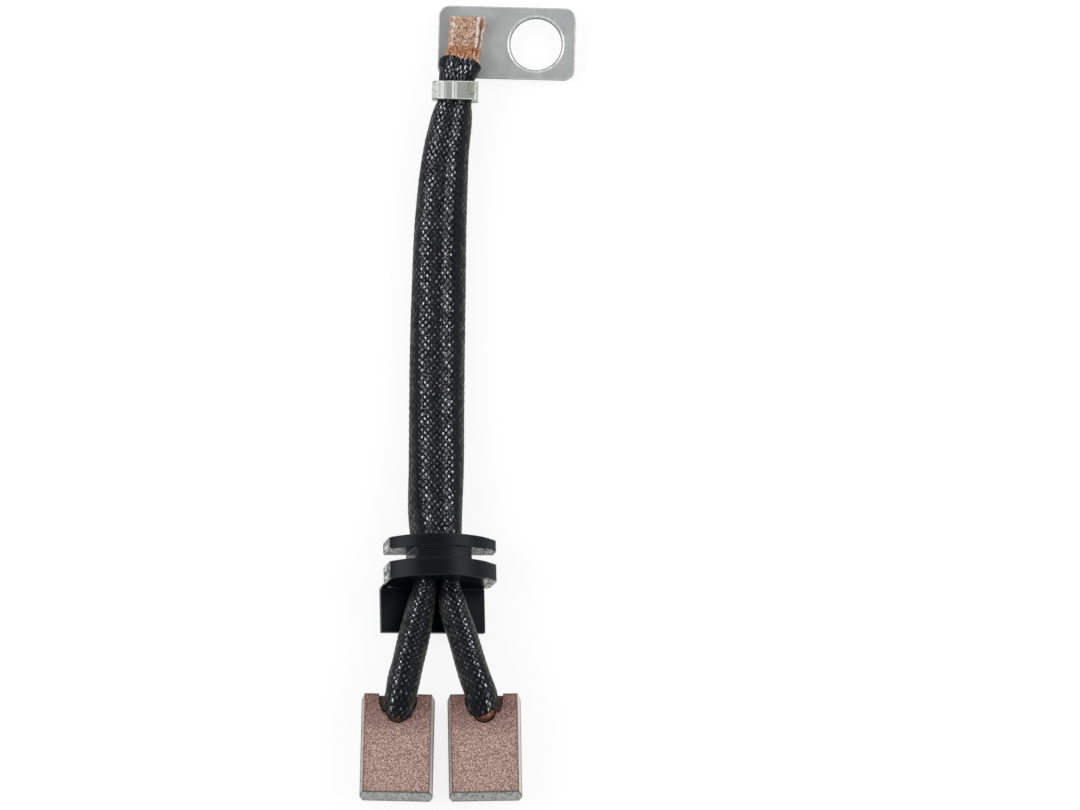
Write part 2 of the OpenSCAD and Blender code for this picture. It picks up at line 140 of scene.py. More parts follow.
def lead_rows():
    """x, y, z, half width and half height of a rope as shares of its radius, slack, room between the ropes, roll."""
    crimp = (0.53, 0.84, 0, 0, 0)
    leave = (0.68, 1.15, 0, SLEEVE_GROW, 1)
    return [
        row(by_strap(2, WELD_START + WELD_L, PAD_Z), 0.76, 0.54, 0, 0, 0.08),
        row(by_strap(1.85, WELD_START + WELD_L / 2, PAD_Z), 0.76, 0.54, 0, 0, 0.08),
        row(by_strap(1.65, WELD_START, PAD_Z + 0.09), 0.73, 0.57, 0, 0, 0.07),
        row(by_strap(1.3, MOUTH_GAP + 1.4, PAD_Z + 0.4), 0.71, 0.66, 0, 0, 0),
        row(by_strap(0.85, MOUTH_GAP, CRIMP_Z + 0.02), 0.67, 0.7, 0.5, 0, 0),
        row(by_strap(0.45, MOUTH_GAP - 1.3, CRIMP_Z + 0.06), 0.59, 0.77, 0.4, 0, 0),
        row(on_terminal(STRAP_X, STRAP_Y + STRAP_W / 2 + 0.35, CRIMP_Z), *crimp),
        row(on_terminal(STRAP_X, STRAP_Y, CRIMP_Z), *crimp),
        row(on_terminal(STRAP_X, STRAP_Y - STRAP_W / 2 - 0.2, CRIMP_Z), *crimp),
        (-13.6, -12, TABLE + 3.45, 0.66, 0.86, 0, 0, 0),
        (-14.1, -14.8, TABLE + 3.3, 0.74, 0.9, 0, 0, 0),
        (-14.7, -18.5, TABLE + 3.05, 0.8, 0.95, 0, 0, 0),
        (-15.2, -24, LIE_Z + 0.2, 0.88, 0.98, 0, 0, 0),
        (-15.65, -32, LIE_Z, 0.94, 1, 0, 0, 0),
        (-15.9, -42, LIE_Z, 0.98, 1, 0, 0, 0),
        (-16.1, -52, LIE_Z, 1, 1, 0, 0, 0),
        (-16.2, -62, LIE_Z + 0.3, 1, 1, 0, 0, 0),
        (-16.25, -71, LIE_Z + 1.3, 1, 1, 0, 0, 0.3),
        row(on_grommet(-6) - Vector((0, 0, 0.6)), 0.99, 1, 0, 0, 0.8),
        row(on_grommet(-1.6), 0.94, 1.03, 0, 0, 1),
        row(on_grommet(0), 0.87, 1.05, 0, 0, 1),
        row(on_grommet(2.8), 0.82, 1.06, 0, 0, 1),
        row(on_grommet(BODY_L - 2.4), *leave),
        row(on_grommet(BODY_L + 0.8), *leave),
    ]


def smooth(rows, k):
    """Catmull-Rom curve through rows of numbers, with k steps for each stretch."""
    out, last = [], len(rows) - 1
    for i in range(last):
        a, b, c, d = rows[max(i - 1, 0)], rows[i], rows[i + 1], rows[min(i + 2, last)]
        for j in range(k):
            t = j / k
            out.append(tuple(
                0.5 * (2 * q + (r - p) * t + (2 * p - 5 * q + 4 * r - s) * t * t + (3 * q - p - 3 * r + s) * t ** 3)
                for p, q, r, s in zip(a, b, c, d)))
    out.append(rows[last])
    return out


def cut_even(rows, step):
    """The rows of a smooth curve, taken again at even steps along it."""
    at = [0.0]
    for a, b in zip(rows, rows[1:]):
        at.append(at[-1] + (Vector(b[:3]) - Vector(a[:3])).length)
    count = max(2, round(at[-1] / step))
    out, i = [], 0
    for n in range(count + 1):
        s = at[-1] * n / count
        while i < len(rows) - 2 and at[i + 1] < s:
            i += 1
        t = (s - at[i]) / max(at[i + 1] - at[i], 1e-9)
        out.append(tuple(p + (q - p) * t for p, q in zip(rows[i], rows[i + 1])))
    return out


def ring_frames(rows):
    """Centre, sideways, upwards and heading at each row; a row's last number is its share of the grommet's roll."""
    out = []
    for i, r in enumerate(rows):
        a, b = Vector(rows[max(i - 1, 0)][:3]), Vector(rows[min(i + 1, len(rows) - 1)][:3])
        t = (b - a).normalized()
        side = Vector((0, 0, 1)).cross(t).normalized()
        roll = r[-1] * GROMMET_ROLL
        side = side * math.cos(roll) - t.cross(side) * math.sin(roll)
        out.append((Vector(r[:3]), side, t.cross(side), t))
    return out


def even_outline(points, count):
    """A closed outline, taken again at even steps, with the outward normal at each point."""
    at = [0.0]
    loop = points + [points[0]]
    for a, b in zip(loop, loop[1:]):
        at.append(at[-1] + math.hypot(b[0] - a[0], b[1] - a[1]))
    out, i = [], 0
    for n in range(count):
        s = at[-1] * n / count
        while at[i + 1] < s:
            i += 1
        t = (s - at[i]) / max(at[i + 1] - at[i], 1e-9)
        a, b = loop[i], loop[i + 1]
        out.append((a[0] + (b[0] - a[0]) * t, a[1] + (b[1] - a[1]) * t))
    normals = []
    for n in range(count):
        a, b = out[n - 1], out[(n + 1) % count]
        d = math.hypot(b[0] - a[0], b[1] - a[1]) or 1
        normals.append(((b[1] - a[1]) / d, (a[0] - b[0]) / d))
    return out, normals


def pair_outline(c, a, b, dip):
    """Round both ropes: half an ellipse over each and a shallow valley between them."""
    lobe, mid, pts = 24, 12, []
    for i in range(lobe + 1):
        g = math.radians(-90 + 180 * i / lobe)
        pts.append((c + a * math.cos(g), b * math.sin(g)))
    for i in range(1, mid):
        x = c * (1 - 2 * i / mid)
        pts.append((x, b - dip * math.cos(math.pi / 2 * x / c) ** 2))
    for i in range(lobe + 1):
        g = math.radians(90 + 180 * i / lobe)
        pts.append((-c + a * math.cos(g), b * math.sin(g)))
    for i in range(1, mid):
        x = c * (2 * i / mid - 1)
        pts.append((x, dip * math.cos(math.pi / 2 * x / c) ** 2 - b))
    return pts


def single_outline(a, b):
    """An ellipse round one rope."""
    turns = [math.radians(5 * i) for i in range(72)]
    return [(a * math.cos(g), b * math.sin(g)) for g in turns]


# ------------------------------------------------------------------ small helpers
def fresh():
    """Leaves edit mode and deselects everything."""
    if bpy.context.mode != "OBJECT":
        bpy.ops.object.mode_set(mode="OBJECT")
    bpy.ops.object.select_all(action="DESELECT")


def activate(obj):
    """Makes one object the selected and active one."""
    fresh()
    obj.select_set(True)
    bpy.context.view_layer.objects.active = obj


def add_mesh(name, verts, faces, uvs, values=()):
    """A mesh object from points in millimetres, with a UV for each face corner and named values for each point."""
    mesh = bpy.data.meshes.new(name)
    mesh.from_pydata([Vector(v) * MM for v in verts], [], faces)
    mesh.uv_layers.new(name="UVMap").data.foreach_set("uv", [c for face in uvs for uv in face for c in uv])
    for key, data in dict(values).items():
        mesh.attributes.new(key, "FLOAT", "POINT").data.foreach_set("value", data)
    mesh.validate()
    obj = bpy.data.objects.new(name, mesh)
    bpy.context.collection.objects.link(obj)
    for p in mesh.polygons:
        p.use_smooth = True
    return obj


def seat(obj, finishes, slot, *nodes):
    """Gives a finished piece its materials and its body, and hides the solids that it stands for; slot is not used.
    """
    for i, finish in enumerate(finishes):
        if i < len(obj.data.materials):
            obj.data.materials[i] = finish
        else:
            obj.data.materials.append(finish)
    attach(obj, "root")
    if nodes:
        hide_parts(*nodes)


def copy_of(node, name, edge, segments, edge_slot, keep=lambda middle, length: True):
    """A copy of a solid with its loose triangles merged and its sharp edges rounded.

    edge_slot is the rounded edges' own material, and keep(middle, length) tells which edges are rounded."""
    activate(NODES[node])
    bpy.ops.object.duplicate()
    obj = bpy.context.active_object
    obj.name, obj.data.name = name, name
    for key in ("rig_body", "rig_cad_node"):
        if key in obj:
            del obj[key]
    obj.parent = None
    while len(obj.data.materials) <= edge_slot:
        obj.data.materials.append(None)
    bpy.ops.object.mode_set(mode="EDIT")
    bpy.ops.mesh.select_all(action="SELECT")
    bpy.ops.mesh.remove_doubles(threshold=0.000002)
    bpy.ops.mesh.dissolve_limited(angle_limit=math.radians(0.5))
    bpy.ops.mesh.select_all(action="DESELECT")
    bpy.ops.mesh.select_mode(type="EDGE")
    bpy.ops.mesh.edges_select_sharp(sharpness=math.radians(35))
    bpy.ops.object.mode_set(mode="OBJECT")
    weights = []
    for e in obj.data.edges:
        a, b = (obj.data.vertices[i].co / MM for i in e.vertices)
        weights.append(1.0 if e.select and keep((a + b) / 2, (a - b).length) else 0.0)
    obj.data.attributes.new("bevel_weight_edge", "FLOAT", "EDGE").data.foreach_set("value", weights)
    axes = list(zip(*(v.co for v in obj.data.vertices)))
    low, high = [min(a) for a in axes], [max(a) for a in axes]
    mod = obj.modifiers.new("Edges", "BEVEL")
    mod.width, mod.segments, mod.limit_method = edge * MM, segments, "WEIGHT"
    mod.use_clamp_overlap = False
    mod.material = edge_slot
    bpy.ops.object.modifier_apply(modifier="Edges")
    for v in obj.data.vertices:
        v.co = [min(max(c, a), b) for c, a, b in zip(v.co, low, high)]
    bpy.ops.object.shade_smooth_by_angle(angle=math.radians(30))
    mod = obj.modifiers.new("Even shading", "WEIGHTED_NORMAL")
    mod.keep_sharp = True
    bpy.ops.object.modifier_apply(modifier="Even shading")
    return obj


# ------------------------------------------------------------------ materials
class Nodes:
    """A short way to write a material's node tree."""

    def __init__(self, name):
        self.material = bpy.data.materials.new(name)
        self.material.use_nodes = True
        self.tree = self.material.node_tree
        self.tree.nodes.clear()
        self.out = self.tree.nodes.new("ShaderNodeOutputMaterial")
        self.shader = self.tree.nodes.new("ShaderNodeBsdfPrincipled")
        self.tree.links.new(self.shader.outputs[0], self.out.inputs["Surface"])

    def link(self, value, socket):
        if isinstance(value, bpy.types.NodeSocket):
            self.tree.links.new(value, socket)
        else:
            socket.default_value = value

    def make(self, kind, output=0, settings=(), **inputs):
        made = self.tree.nodes.new(kind)
        for key, value in dict(settings).items():
            setattr(made, key, value)
        for key, value in inputs.items():
            self.link(value, made.inputs[int(key[1:]) if key[1:].isdigit() else key.replace("_", " ")])
        return made.outputs[output]

    def math(self, operation, a, *more):
        """One operation on two or more values, from left to right."""
        out = a
        for b in more or (0.0,):
            out = self.make("ShaderNodeMath", 0, {"operation": operation}, i0=out, i1=b)
        return out

    def add(self, *values):
        return self.math("ADD", *values)

    def sub(self, *values):
        return self.math("SUBTRACT", *values)

    def mul(self, *values):
        return self.math("MULTIPLY", *values)

    def most(self, *values):
        return self.math("MAXIMUM", *values)

    def size(self, value):
        return self.math("ABSOLUTE", value)

    def square(self, value):
        return self.math("POWER", value, 2.0)

    def mix(self, factor, a, b):
        return self.make("ShaderNodeMix", 2, {"data_type": "RGBA"}, i0=factor, i6=a, i7=b)

    def ramp(self, value, low, high, to_low=0.0, to_high=1.0):
        return self.make(
            "ShaderNodeMapRange", 0, {"clamp": True}, Value=value, i1=low, i2=high, i3=to_low, i4=to_high)

    def split(self, vector):
        """The three numbers of a vector."""
        made = self.tree.nodes.new("ShaderNodeSeparateXYZ")
        self.link(vector, made.inputs[0])
        return made.outputs[0], made.outputs[1], made.outputs[2]

    def hill(self, value, centre, width):
        """A soft hill of height 1 round a centre."""
        t = self.math("DIVIDE", self.sub(value, centre), width)
        return self.math("EXPONENT", self.mul(t, t, -1.0))

    def places(self, per_mm=1.0, stretch=(1, 1, 1)):
        """Object coordinates, counted in millimetres."""
        coords = self.make("ShaderNodeTexCoord", 3)
        scale = tuple(per_mm * 1000 * s for s in stretch)
        return self.make("ShaderNodeMapping", Vector=coords, Scale=scale)

    def noise(self, vector, scale=1.0, detail=3.0, rough=0.5, distortion=0.0):
        return self.make(
            "ShaderNodeTexNoise", Vector=vector, Scale=scale, Detail=detail, Roughness=rough, Distortion=distortion)

    def veins(self, vector, scale):
        return self.make("ShaderNodeTexVoronoi", 0, {"feature": "DISTANCE_TO_EDGE"}, Vector=vector, Scale=scale)

    def dice(self, x, y, z=0.0):
        """A number of its own for each whole step of x, y and z."""
        at = self.make("ShaderNodeCombineXYZ", X=x, Y=y, Z=z)
        return self.make("ShaderNodeTexWhiteNoise", 0, {"noise_dimensions": "3D"}, Vector=at)

    def faces(self):
        """The three numbers of the direction that a face looks in."""
        return self.split(self.make("ShaderNodeNewGeometry", 1))

    def value(self, name):
        return self.make("ShaderNodeAttribute", 2, {"attribute_name": name})

    def bump(self, height, distance, strength=1.0):
        return self.make("ShaderNodeBump", Height=height, Distance=distance * MM, Strength=strength)

    def finish(self, **inputs):
        for key, value in inputs.items():
            self.link(value, self.shader.inputs[key.replace("_", " ")])
        return self.material


def rgb(color, *factors):
    """A colour for a socket, times one factor or three."""
    factors = factors * 3 if len(factors) == 1 else factors or (1, 1, 1)
    return tuple(min(1.0, c * f) for c, f in zip(color, factors)) + (1.0,)


def tinned_steel(look):
    """Rolled sheet with its tin coat: plate, strap, the strap's lap, its creases and the punch mark."""
    n = Nodes("Tinned steel")
    at = n.places()
    x, y, z = n.split(at)
    cloud = n.noise(at, 0.35, 4, 0.6)
    grain = n.noise(at, 9, 3, 0.6)
    rolled = n.noise(n.places(1, (0.25, 5, 5)), 2.2, 3, 0.5)
    tone = n.add(n.mul(cloud, 0.5), n.mul(grain, 0.5))
    base = look.plate_color
    color = n.mix(n.ramp(tone, 0.35, 0.65), rgb(base, 0.92), rgb(base, 1.06))
    color = n.mix(n.mul(n.ramp(x, -11.5, -16.5), n.ramp(y, -6.4, -5.9)), color, rgb(base, 0.74))
    # Painted shade, dark, on the faces of the sheet that don't look up (its sides and hole walls), below the strap
    upright = n.size(n.faces()[2])
    color = n.mix(n.mul(n.ramp(upright, 0.5, 0.3), n.ramp(z, 1.5, 1.2)), color, rgb(base, 0.2))
    strap = n.mul(n.ramp(z, 2.8, 3.6), n.ramp(y, -6.0, -6.6))
    lap = n.mul(strap, n.ramp(x, -15.6, -15.2))
    color = n.mix(n.mul(lap, 0.8), color, rgb(look.lap_color))
    mark = n.math("SQRT", n.add(
        n.square(n.math("DIVIDE", n.sub(x, MARK_X), MARK_W)), n.square(n.math("DIVIDE", n.sub(y, MARK_Y), MARK_H))))
    color = n.mix(n.mul(lap, n.ramp(mark, 1.05, 0.8), 0.75), color, (0.52, 0.54, 0.40, 1))
    color = n.mix(n.mul(lap, n.hill(mark, 1.1, 0.16), 0.55), color, (0.16, 0.16, 0.13, 1))
    # Painted shade on the strap's bend, which tones down its highlight
    bend_shade = n.mul(n.ramp(y, -6.0, -6.6), n.hill(x, -15.75, 0.42))
    color = n.mix(n.mul(bend_shade, 0.85), color, (0.27, 0.275, 0.26, 1))
    facet = n.mul(n.ramp(y, -6.0, -6.6), n.ramp(x, -15.95, -16.15))
    pits = n.noise(n.places(1, (1, 1, 0.6)), 3.6, 2, 0.6)
    color = n.mix(n.mul(facet, n.ramp(pits, 0.42, 0.36, 0.0, 0.8)), color, (0.16, 0.16, 0.15, 1))
    color = n.mix(n.mul(facet, n.ramp(pits, 0.5, 0.6, 0.0, 0.9)), color, (0.7, 0.7, 0.67, 1))
    creases = n.add(n.mul(n.hill(x, -15.0, 0.26), 0.8), n.hill(x, -13.3, 0.3))
    height = n.add(n.mul(grain, 0.012), n.mul(rolled, 0.008))
    height = n.add(height, n.mul(creases, strap, 0.14))
    height = n.add(height, n.mul(pits, facet, 0.12))
    return n.finish(
        Base_Color=color, Metallic=1.0,
        Roughness=n.ramp(cloud, 0.3, 0.7, look.plate_roughness - 0.04, look.plate_roughness + 0.05),
        Normal=n.bump(height, 1.0, 1.0))


def sheared_edge(look):
    """The rounded rims of the sheet, with a painted highlight where they look up and painted shade where they look
    down.
    """
    n = Nodes("Sheared edge")
    at = n.places()
    tone = n.noise(at, 1.6, 3, 0.6)
    base = look.plate_color
    # Painted shade for the rims that look down
    dark = n.mix(n.ramp(tone, 0.4, 0.6), rgb(base, 0.08), rgb(base, 0.22))
    lift = n.ramp(n.faces()[2], 0.62, 0.8)
    # Painted highlight, near white, for the rims that look up
    bright = n.mix(n.ramp(tone, 0.42, 0.58), rgb(base, 1.1), (0.95, 0.96, 0.94, 1))
    color = n.mix(lift, dark, bright)
    # Less metal where the painted highlight is, so that it shows pale
    return n.finish(
        Base_Color=color, Metallic=n.ramp(lift, 0.0, 1.0, 1.0, 0.4), Roughness=0.25, Normal=n.bump(tone, 0.02, 0.5))


def rubber_edge(look):
    """The rounded rims of the moulding, with a painted highlight, broken into dots, on the edges at the ends of its
    flanges.
    """
    n = Nodes("Rubber edge highlight")
    # Noise that breaks the painted highlight on the ends into dots and dashes
    wear = n.noise(n.places(), 1.8, 4, 0.65)
    base = look.rubber_color
    x, y, _ = n.split(n.places())
    ends = n.most(n.ramp(x, -23.4, -23.9), n.ramp(x, -8.3, -7.9))
    ends = n.mul(ends, n.ramp(y, -92.2, -91.8))
    # Painted highlight, light grey, on the edges at the ends of the flanges; elsewhere the edges stay dark
    light = n.mix(ends, (0.012, 0.0125, 0.0135, 1), (0.5, 0.5, 0.48, 1))
    color = n.mix(n.ramp(wear, 0.42, 0.6), rgb(base, 2.0), light)
    return n.finish(Base_Color=color, Roughness=0.3, Specular_IOR_Level=n.ramp(ends, 0.0, 1.0, 0.22, 0.5))


def moulded_rubber(look):
    """Black rubber, with a painted reflection of the white table, light grey and streaked, on the left ends and the
    undersides of the flanges.
    """
    n = Nodes("Moulded rubber")
    at = n.places()
    fine = n.noise(at, 5, 4, 0.6)
    broad = n.noise(at, 0.45, 3, 0.5)
    dust = n.ramp(n.noise(at, 2.6, 5, 0.7), 0.62, 0.78)
    base = look.rubber_color
    color = n.mix(n.ramp(broad, 0.3, 0.7), rgb(base, 0.8), rgb(base, 1.25))
    color = n.mix(n.mul(dust, 0.15), color, (0.02, 0.02, 0.019, 1))
    nx, ny, nz = n.faces()
    x, y, _ = n.split(at)
    upright = n.mul(n.ramp(n.size(nz), 0.75, 0.4), n.ramp(y, -92.0, -91.6))
    wings = n.most(n.ramp(x, -21.4, -21.9), n.ramp(x, -11.2, -10.7))
    below = n.mul(n.ramp(ny, -0.5, -0.8), n.ramp(y, -90.2, -89.6), wings)
    below = n.most(below, n.mul(n.ramp(ny, -0.5, -0.8), n.ramp(x, -8.7, -8.2)))
    under = n.most(n.mul(n.ramp(nx, -0.25, -0.6), n.ramp(x, -23.9, -24.3)), below)
    streaks = n.noise(n.places(1, (1, 1, 0.25)), 1.9, 4, 0.75)
    left = n.mul(n.ramp(x, -23.9, -24.3), n.ramp(ny, -0.6, -0.3))
    streaks = n.sub(streaks, n.mul(left, 0.03))
    # Painted reflection of the white table, light grey and streaked, on the faces that look down or to the left
    painted_reflection = n.mul(upright, under, n.ramp(streaks, 0.46, 0.52, 0.02, 1.0))
    color = n.mix(painted_reflection, color, (0.66, 0.665, 0.63, 1))
    return n.finish(
        Base_Color=color, Specular_IOR_Level=0.16,
        Roughness=n.ramp(fine, 0.3, 0.7, look.rubber_roughness - 0.05, look.rubber_roughness + 0.08),
        Normal=n.bump(n.add(fine, n.mul(broad, 2.0)), 0.03, 0.35))


def braid_yarn(look):
    """Lacquered yarns of a plain braid. The UV counts the yarns: its sum and difference are the two families."""
    n = Nodes("Lacquered braid")
    crown, glint_band, edge = n.value("crown"), n.value("glint_band"), n.value("edge")
    p, q, _ = n.split(n.make("ShaderNodeTexCoord", 2))
    a, b = n.add(p, q), n.sub(p, q)
    i, j = n.math("FLOOR", a), n.math("FLOOR", b)
    fa = n.sub(n.sub(a, i), 0.5)
    fb = n.sub(n.sub(b, j), 0.5)
    odd = n.math("MODULO", n.size(n.add(i, j)), 2.0)
    wide = n.add(fa, n.mul(odd, n.sub(fb, fa)))
    long = n.sub(n.add(fa, fb), wide)
    dice, other, third = n.dice(i, j), n.dice(j, i, 7.0), n.dice(i, j, 3.0)
    # A painted glint on the crown of a yarn, upright and leaning a little along the yarn
    lean = n.sub(n.mul(odd, 0.9), 0.45)
    sway = n.mul(n.sub(other, 0.5), 1.3)
    down = n.add(n.mul(n.sub(fa, fb), 2.9), sway)
    across = n.add(n.mul(n.add(fa, fb), 4.0), n.mul(down, lean))
    across = n.add(across, n.mul(n.sub(third, 0.5), 0.9))
    reach = n.add(n.mul(across, across), n.mul(down, down))
    power = n.mul(glint_band, n.add(n.mul(dice, dice, 1.6), 0.1))
    dot = n.mul(n.ramp(reach, 0.5, 1.3, 1.0, 0.0), n.math("MINIMUM", power, 1.0))
    # Painted glints along the fine ends of the yarns
    side = n.size(n.sub(n.size(n.add(wide, n.mul(dice, 0.12))), 0.2))
    line = n.mul(n.ramp(side, 0.02, 0.07, 1.0, 0.0), n.ramp(n.size(long), 0.25, 0.42, 1.0, 0.0))
    line = n.mul(line, n.mul(glint_band, n.ramp(other, 0.4, 0.9, 0.0, 0.42)))
    painted_glint = n.most(dot, line)
    # Small random painted glints, stronger in the glint bands
    sparks = n.noise(n.places(1, (1.3, 0.9, 1.3)), 4.6, 1, 0.5)
    painted_glint = n.most(painted_glint, n.mul(n.ramp(sparks, 0.62, 0.7, 0.0, 0.45), n.ramp(glint_band, 0.1, 0.9, 0.05, 1.0)))
    along = n.make("ShaderNodeCombineXYZ", X=n.mul(wide, 14.0), Y=n.mul(long, 1.6), Z=n.mul(dice, 9.0))
    fibre = n.noise(along, 1.0, 2, 0.6)
    tone = n.mul(n.ramp(crown, 0.25, 0.95), n.ramp(fibre, 0.35, 0.65, 0.3, 1.0))
    color = n.mix(tone, (0.0012, 0.0012, 0.0016, 1), rgb(look.braid_color))
    weave = n.mul(n.ramp(crown, 0.5, 1.0, 0.06, 1.0), n.ramp(n.add(fibre, n.mul(dice, 0.4)), 0.55, 0.9, 0.06, 0.9))
    # Painted sheen, light grey, on the sides of the sleeves, following the weave
    color = n.mix(n.mul(edge, weave), color, rgb(look.side_sheen_color))
    # The painted glints, bluish white
    color = n.mix(n.mul(painted_glint, look.painted_glint), color, (0.93, 0.95, 1.0, 1))
    return n.finish(
        Base_Color=color, Roughness=n.ramp(painted_glint, 0.0, 1.0, 0.42, 0.2), Specular_IOR_Level=0.12,
        Normal=n.bump(n.mul(fibre, n.ramp(crown, 0.2, 0.6)), 0.03, 0.7))


def copper_wire(look):
    """Bare copper strands, with painted highlights, painted shade between the wires and painted shade where they go
    down into the blind holes.
    """
    n = Nodes("Copper wire")
    uv = n.make("ShaderNodeTexCoord", 2)
    at = n.places()
    x, y, z = n.split(at)
    wires = n.make(
        "ShaderNodeTexWave", 1, {"bands_direction": "DIAGONAL"},
        Vector=uv, Scale=2.6, Distortion=0.6, Detail=2.0, i4=2.0)
    tone = n.noise(at, 2.6, 4, 0.6)
    base = look.copper_color
    color = n.mix(n.ramp(tone, 0.36, 0.5), rgb(base, 0.5, 0.34, 0.25), rgb(base))
    # Painted highlight, pale, where the tone is light
    color = n.mix(n.ramp(tone, 0.54, 0.62, 0.0, 0.9), color, (1.0, 0.86, 0.7, 1))
    # Painted shade, dark brown, in the grooves between the wires
    color = n.mix(n.ramp(wires, 0.0, 0.4, 0.5, 0.0), color, (0.16, 0.045, 0.02, 1))
    # Painted shade, near black, down in the blind holes, weaker where a rope shows bare
    bare = n.mul(n.ramp(x, -10.2, -8.6), n.ramp(y, -114.3, -113.3))
    hole_shade = n.mul(n.ramp(z, 8.4, 7.2), n.ramp(y, -100.0, -101.0))
    hole_shade = n.mul(hole_shade, n.sub(1.0, n.mul(bare, 0.75)))
    color = n.mix(n.mul(hole_shade, 0.88), color, (0.05, 0.014, 0.011, 1))
    return n.finish(
        Base_Color=color, Metallic=1.0, Roughness=n.ramp(tone, 0.3, 0.7, 0.22, 0.38),
        Normal=n.bump(wires, 0.06, 0.8))


def welded_copper(look):
    """Strands pressed and welded into a pad; the value painted_light marks the painted highlight on its ridges and
    the painted shade in its groove.
    """
    n = Nodes("Welded copper")
    at = n.places()
    veins = n.veins(at, 3.0)
    grain = n.noise(at, 4.2, 3, 0.7, 0.8)
    cloud = n.noise(at, 0.9, 3, 0.6)
    light, base = look.weld_color, look.copper_color
    mid = n.add(n.mul(cloud, 0.4), n.mul(grain, 0.6))
    color = n.mix(n.ramp(mid, 0.44, 0.56), rgb(base, 0.5, 0.42, 0.36), rgb(light))
    color = n.mix(n.ramp(grain, 0.54, 0.62, 0.0, 1.0), color, (1.0, 0.9, 0.8, 1))
    color = n.mix(n.ramp(grain, 0.46, 0.39, 0.0, 0.95), color, rgb(base, 0.2, 0.13, 0.1))
    painted_light = n.value("painted_light")
    # Painted highlight, pale, on the ridges
    color = n.mix(n.ramp(painted_light, 0.12, 0.6, 0.0, 0.95), color, (1.0, 0.92, 0.84, 1))
    # Painted shade, dark, in the groove
    color = n.mix(n.ramp(painted_light, -0.2, -1.0, 0.0, 0.85), color, (0.16, 0.05, 0.03, 1))
    spot = by_strap(4.7, WELD_START + 4.2, PAD_Z + 1.2)
    x, y, _ = n.split(at)
    far = n.add(n.square(n.sub(x, spot.x)), n.mul(n.square(n.sub(y, spot.y)), 0.25))
    color = n.mix(n.ramp(far, 0.5, 0.1, 0.0, 0.5), color, (0.4, 0.14, 0.12, 1))
    # Less metal on the ridges, so that the painted highlight shows bright
    metal = n.math("MINIMUM", n.ramp(painted_light, 0.15, 0.6, 1.0, 0.12), n.ramp(grain, 0.55, 0.66, 1.0, 0.5))
    height = n.add(n.ramp(veins, 0.0, 0.14), n.mul(grain, 1.5))
    return n.finish(
        Base_Color=color, Metallic=metal, Roughness=n.ramp(grain, 0.3, 0.7, 0.3, 0.45),
        Normal=n.bump(height, 0.09, 0.8))


def block_face(look):
    """Pressed copper graphite: UV counts millimetres across the block and down from its rope end."""
    n = Nodes("Copper graphite face")
    uv = n.make("ShaderNodeTexCoord", 2)
    u, s, _ = n.split(uv)
    grain = n.noise(uv, 3.7, 3, 0.8)
    fine = n.noise(uv, 8.5, 2, 0.7)
    cloud = n.noise(uv, 0.3, 3, 0.55)
    blotch = n.noise(uv, 0.9, 3, 0.6)
    base, dark = look.face_color, look.face_dark
    near = n.ramp(n.add(s, n.mul(cloud, 6.0)), 4.5, 11.0, 1.0, 0.0)
    near = n.most(near, n.mul(n.ramp(n.size(u), 4.0, 5.4), n.ramp(blotch, 0.35, 0.6, 0.0, 0.8)))
    color = n.mix(n.mul(near, 0.95), rgb(base), rgb(dark))
    color = n.mix(n.ramp(blotch, 0.45, 0.65, 0.0, 0.35), color, rgb(base, 0.8, 0.62, 0.6))
    tone = n.add(n.mul(grain, 0.55), n.mul(fine, 0.35))
    cell = n.make("ShaderNodeVectorMath", 0, {"operation": "SCALE"}, i0=uv, Scale=5.5)
    cell = n.make("ShaderNodeVectorMath", 0, {"operation": "FLOOR"}, i0=cell)
    speck = n.make("ShaderNodeTexWhiteNoise", 0, {"noise_dimensions": "2D"}, Vector=cell)
    tone = n.add(tone, n.mul(speck, 0.1))
    color = n.mix(n.ramp(tone, 0.5, 0.42, 0.0, 0.95), color, rgb(dark, 0.5))
    bright = n.mix(near, (0.82, 0.63, 0.54, 1), (0.57, 0.37, 0.31, 1))
    color = n.mix(n.ramp(tone, 0.5, 0.58, 0.0, 0.95), color, bright)
    # Painted shade along the rims of the face
    rim = n.most(n.ramp(n.size(u), 5.0, 5.42), n.ramp(s, 15.95, 16.3))
    rim = n.most(rim, n.ramp(s, 0.6, 0.1))
    color = n.mix(n.mul(rim, n.ramp(tone, 0.56, 0.42, 0.15, 0.95)), color, rgb(dark, 0.5, 0.42, 0.42))
    height = n.add(grain, n.mul(fine, 0.6))
    return n.finish(
        Base_Color=color, Metallic=0.15, Roughness=n.ramp(grain, 0.3, 0.7, 0.45, 0.65),
        Normal=n.bump(height, 0.09, 0.7))


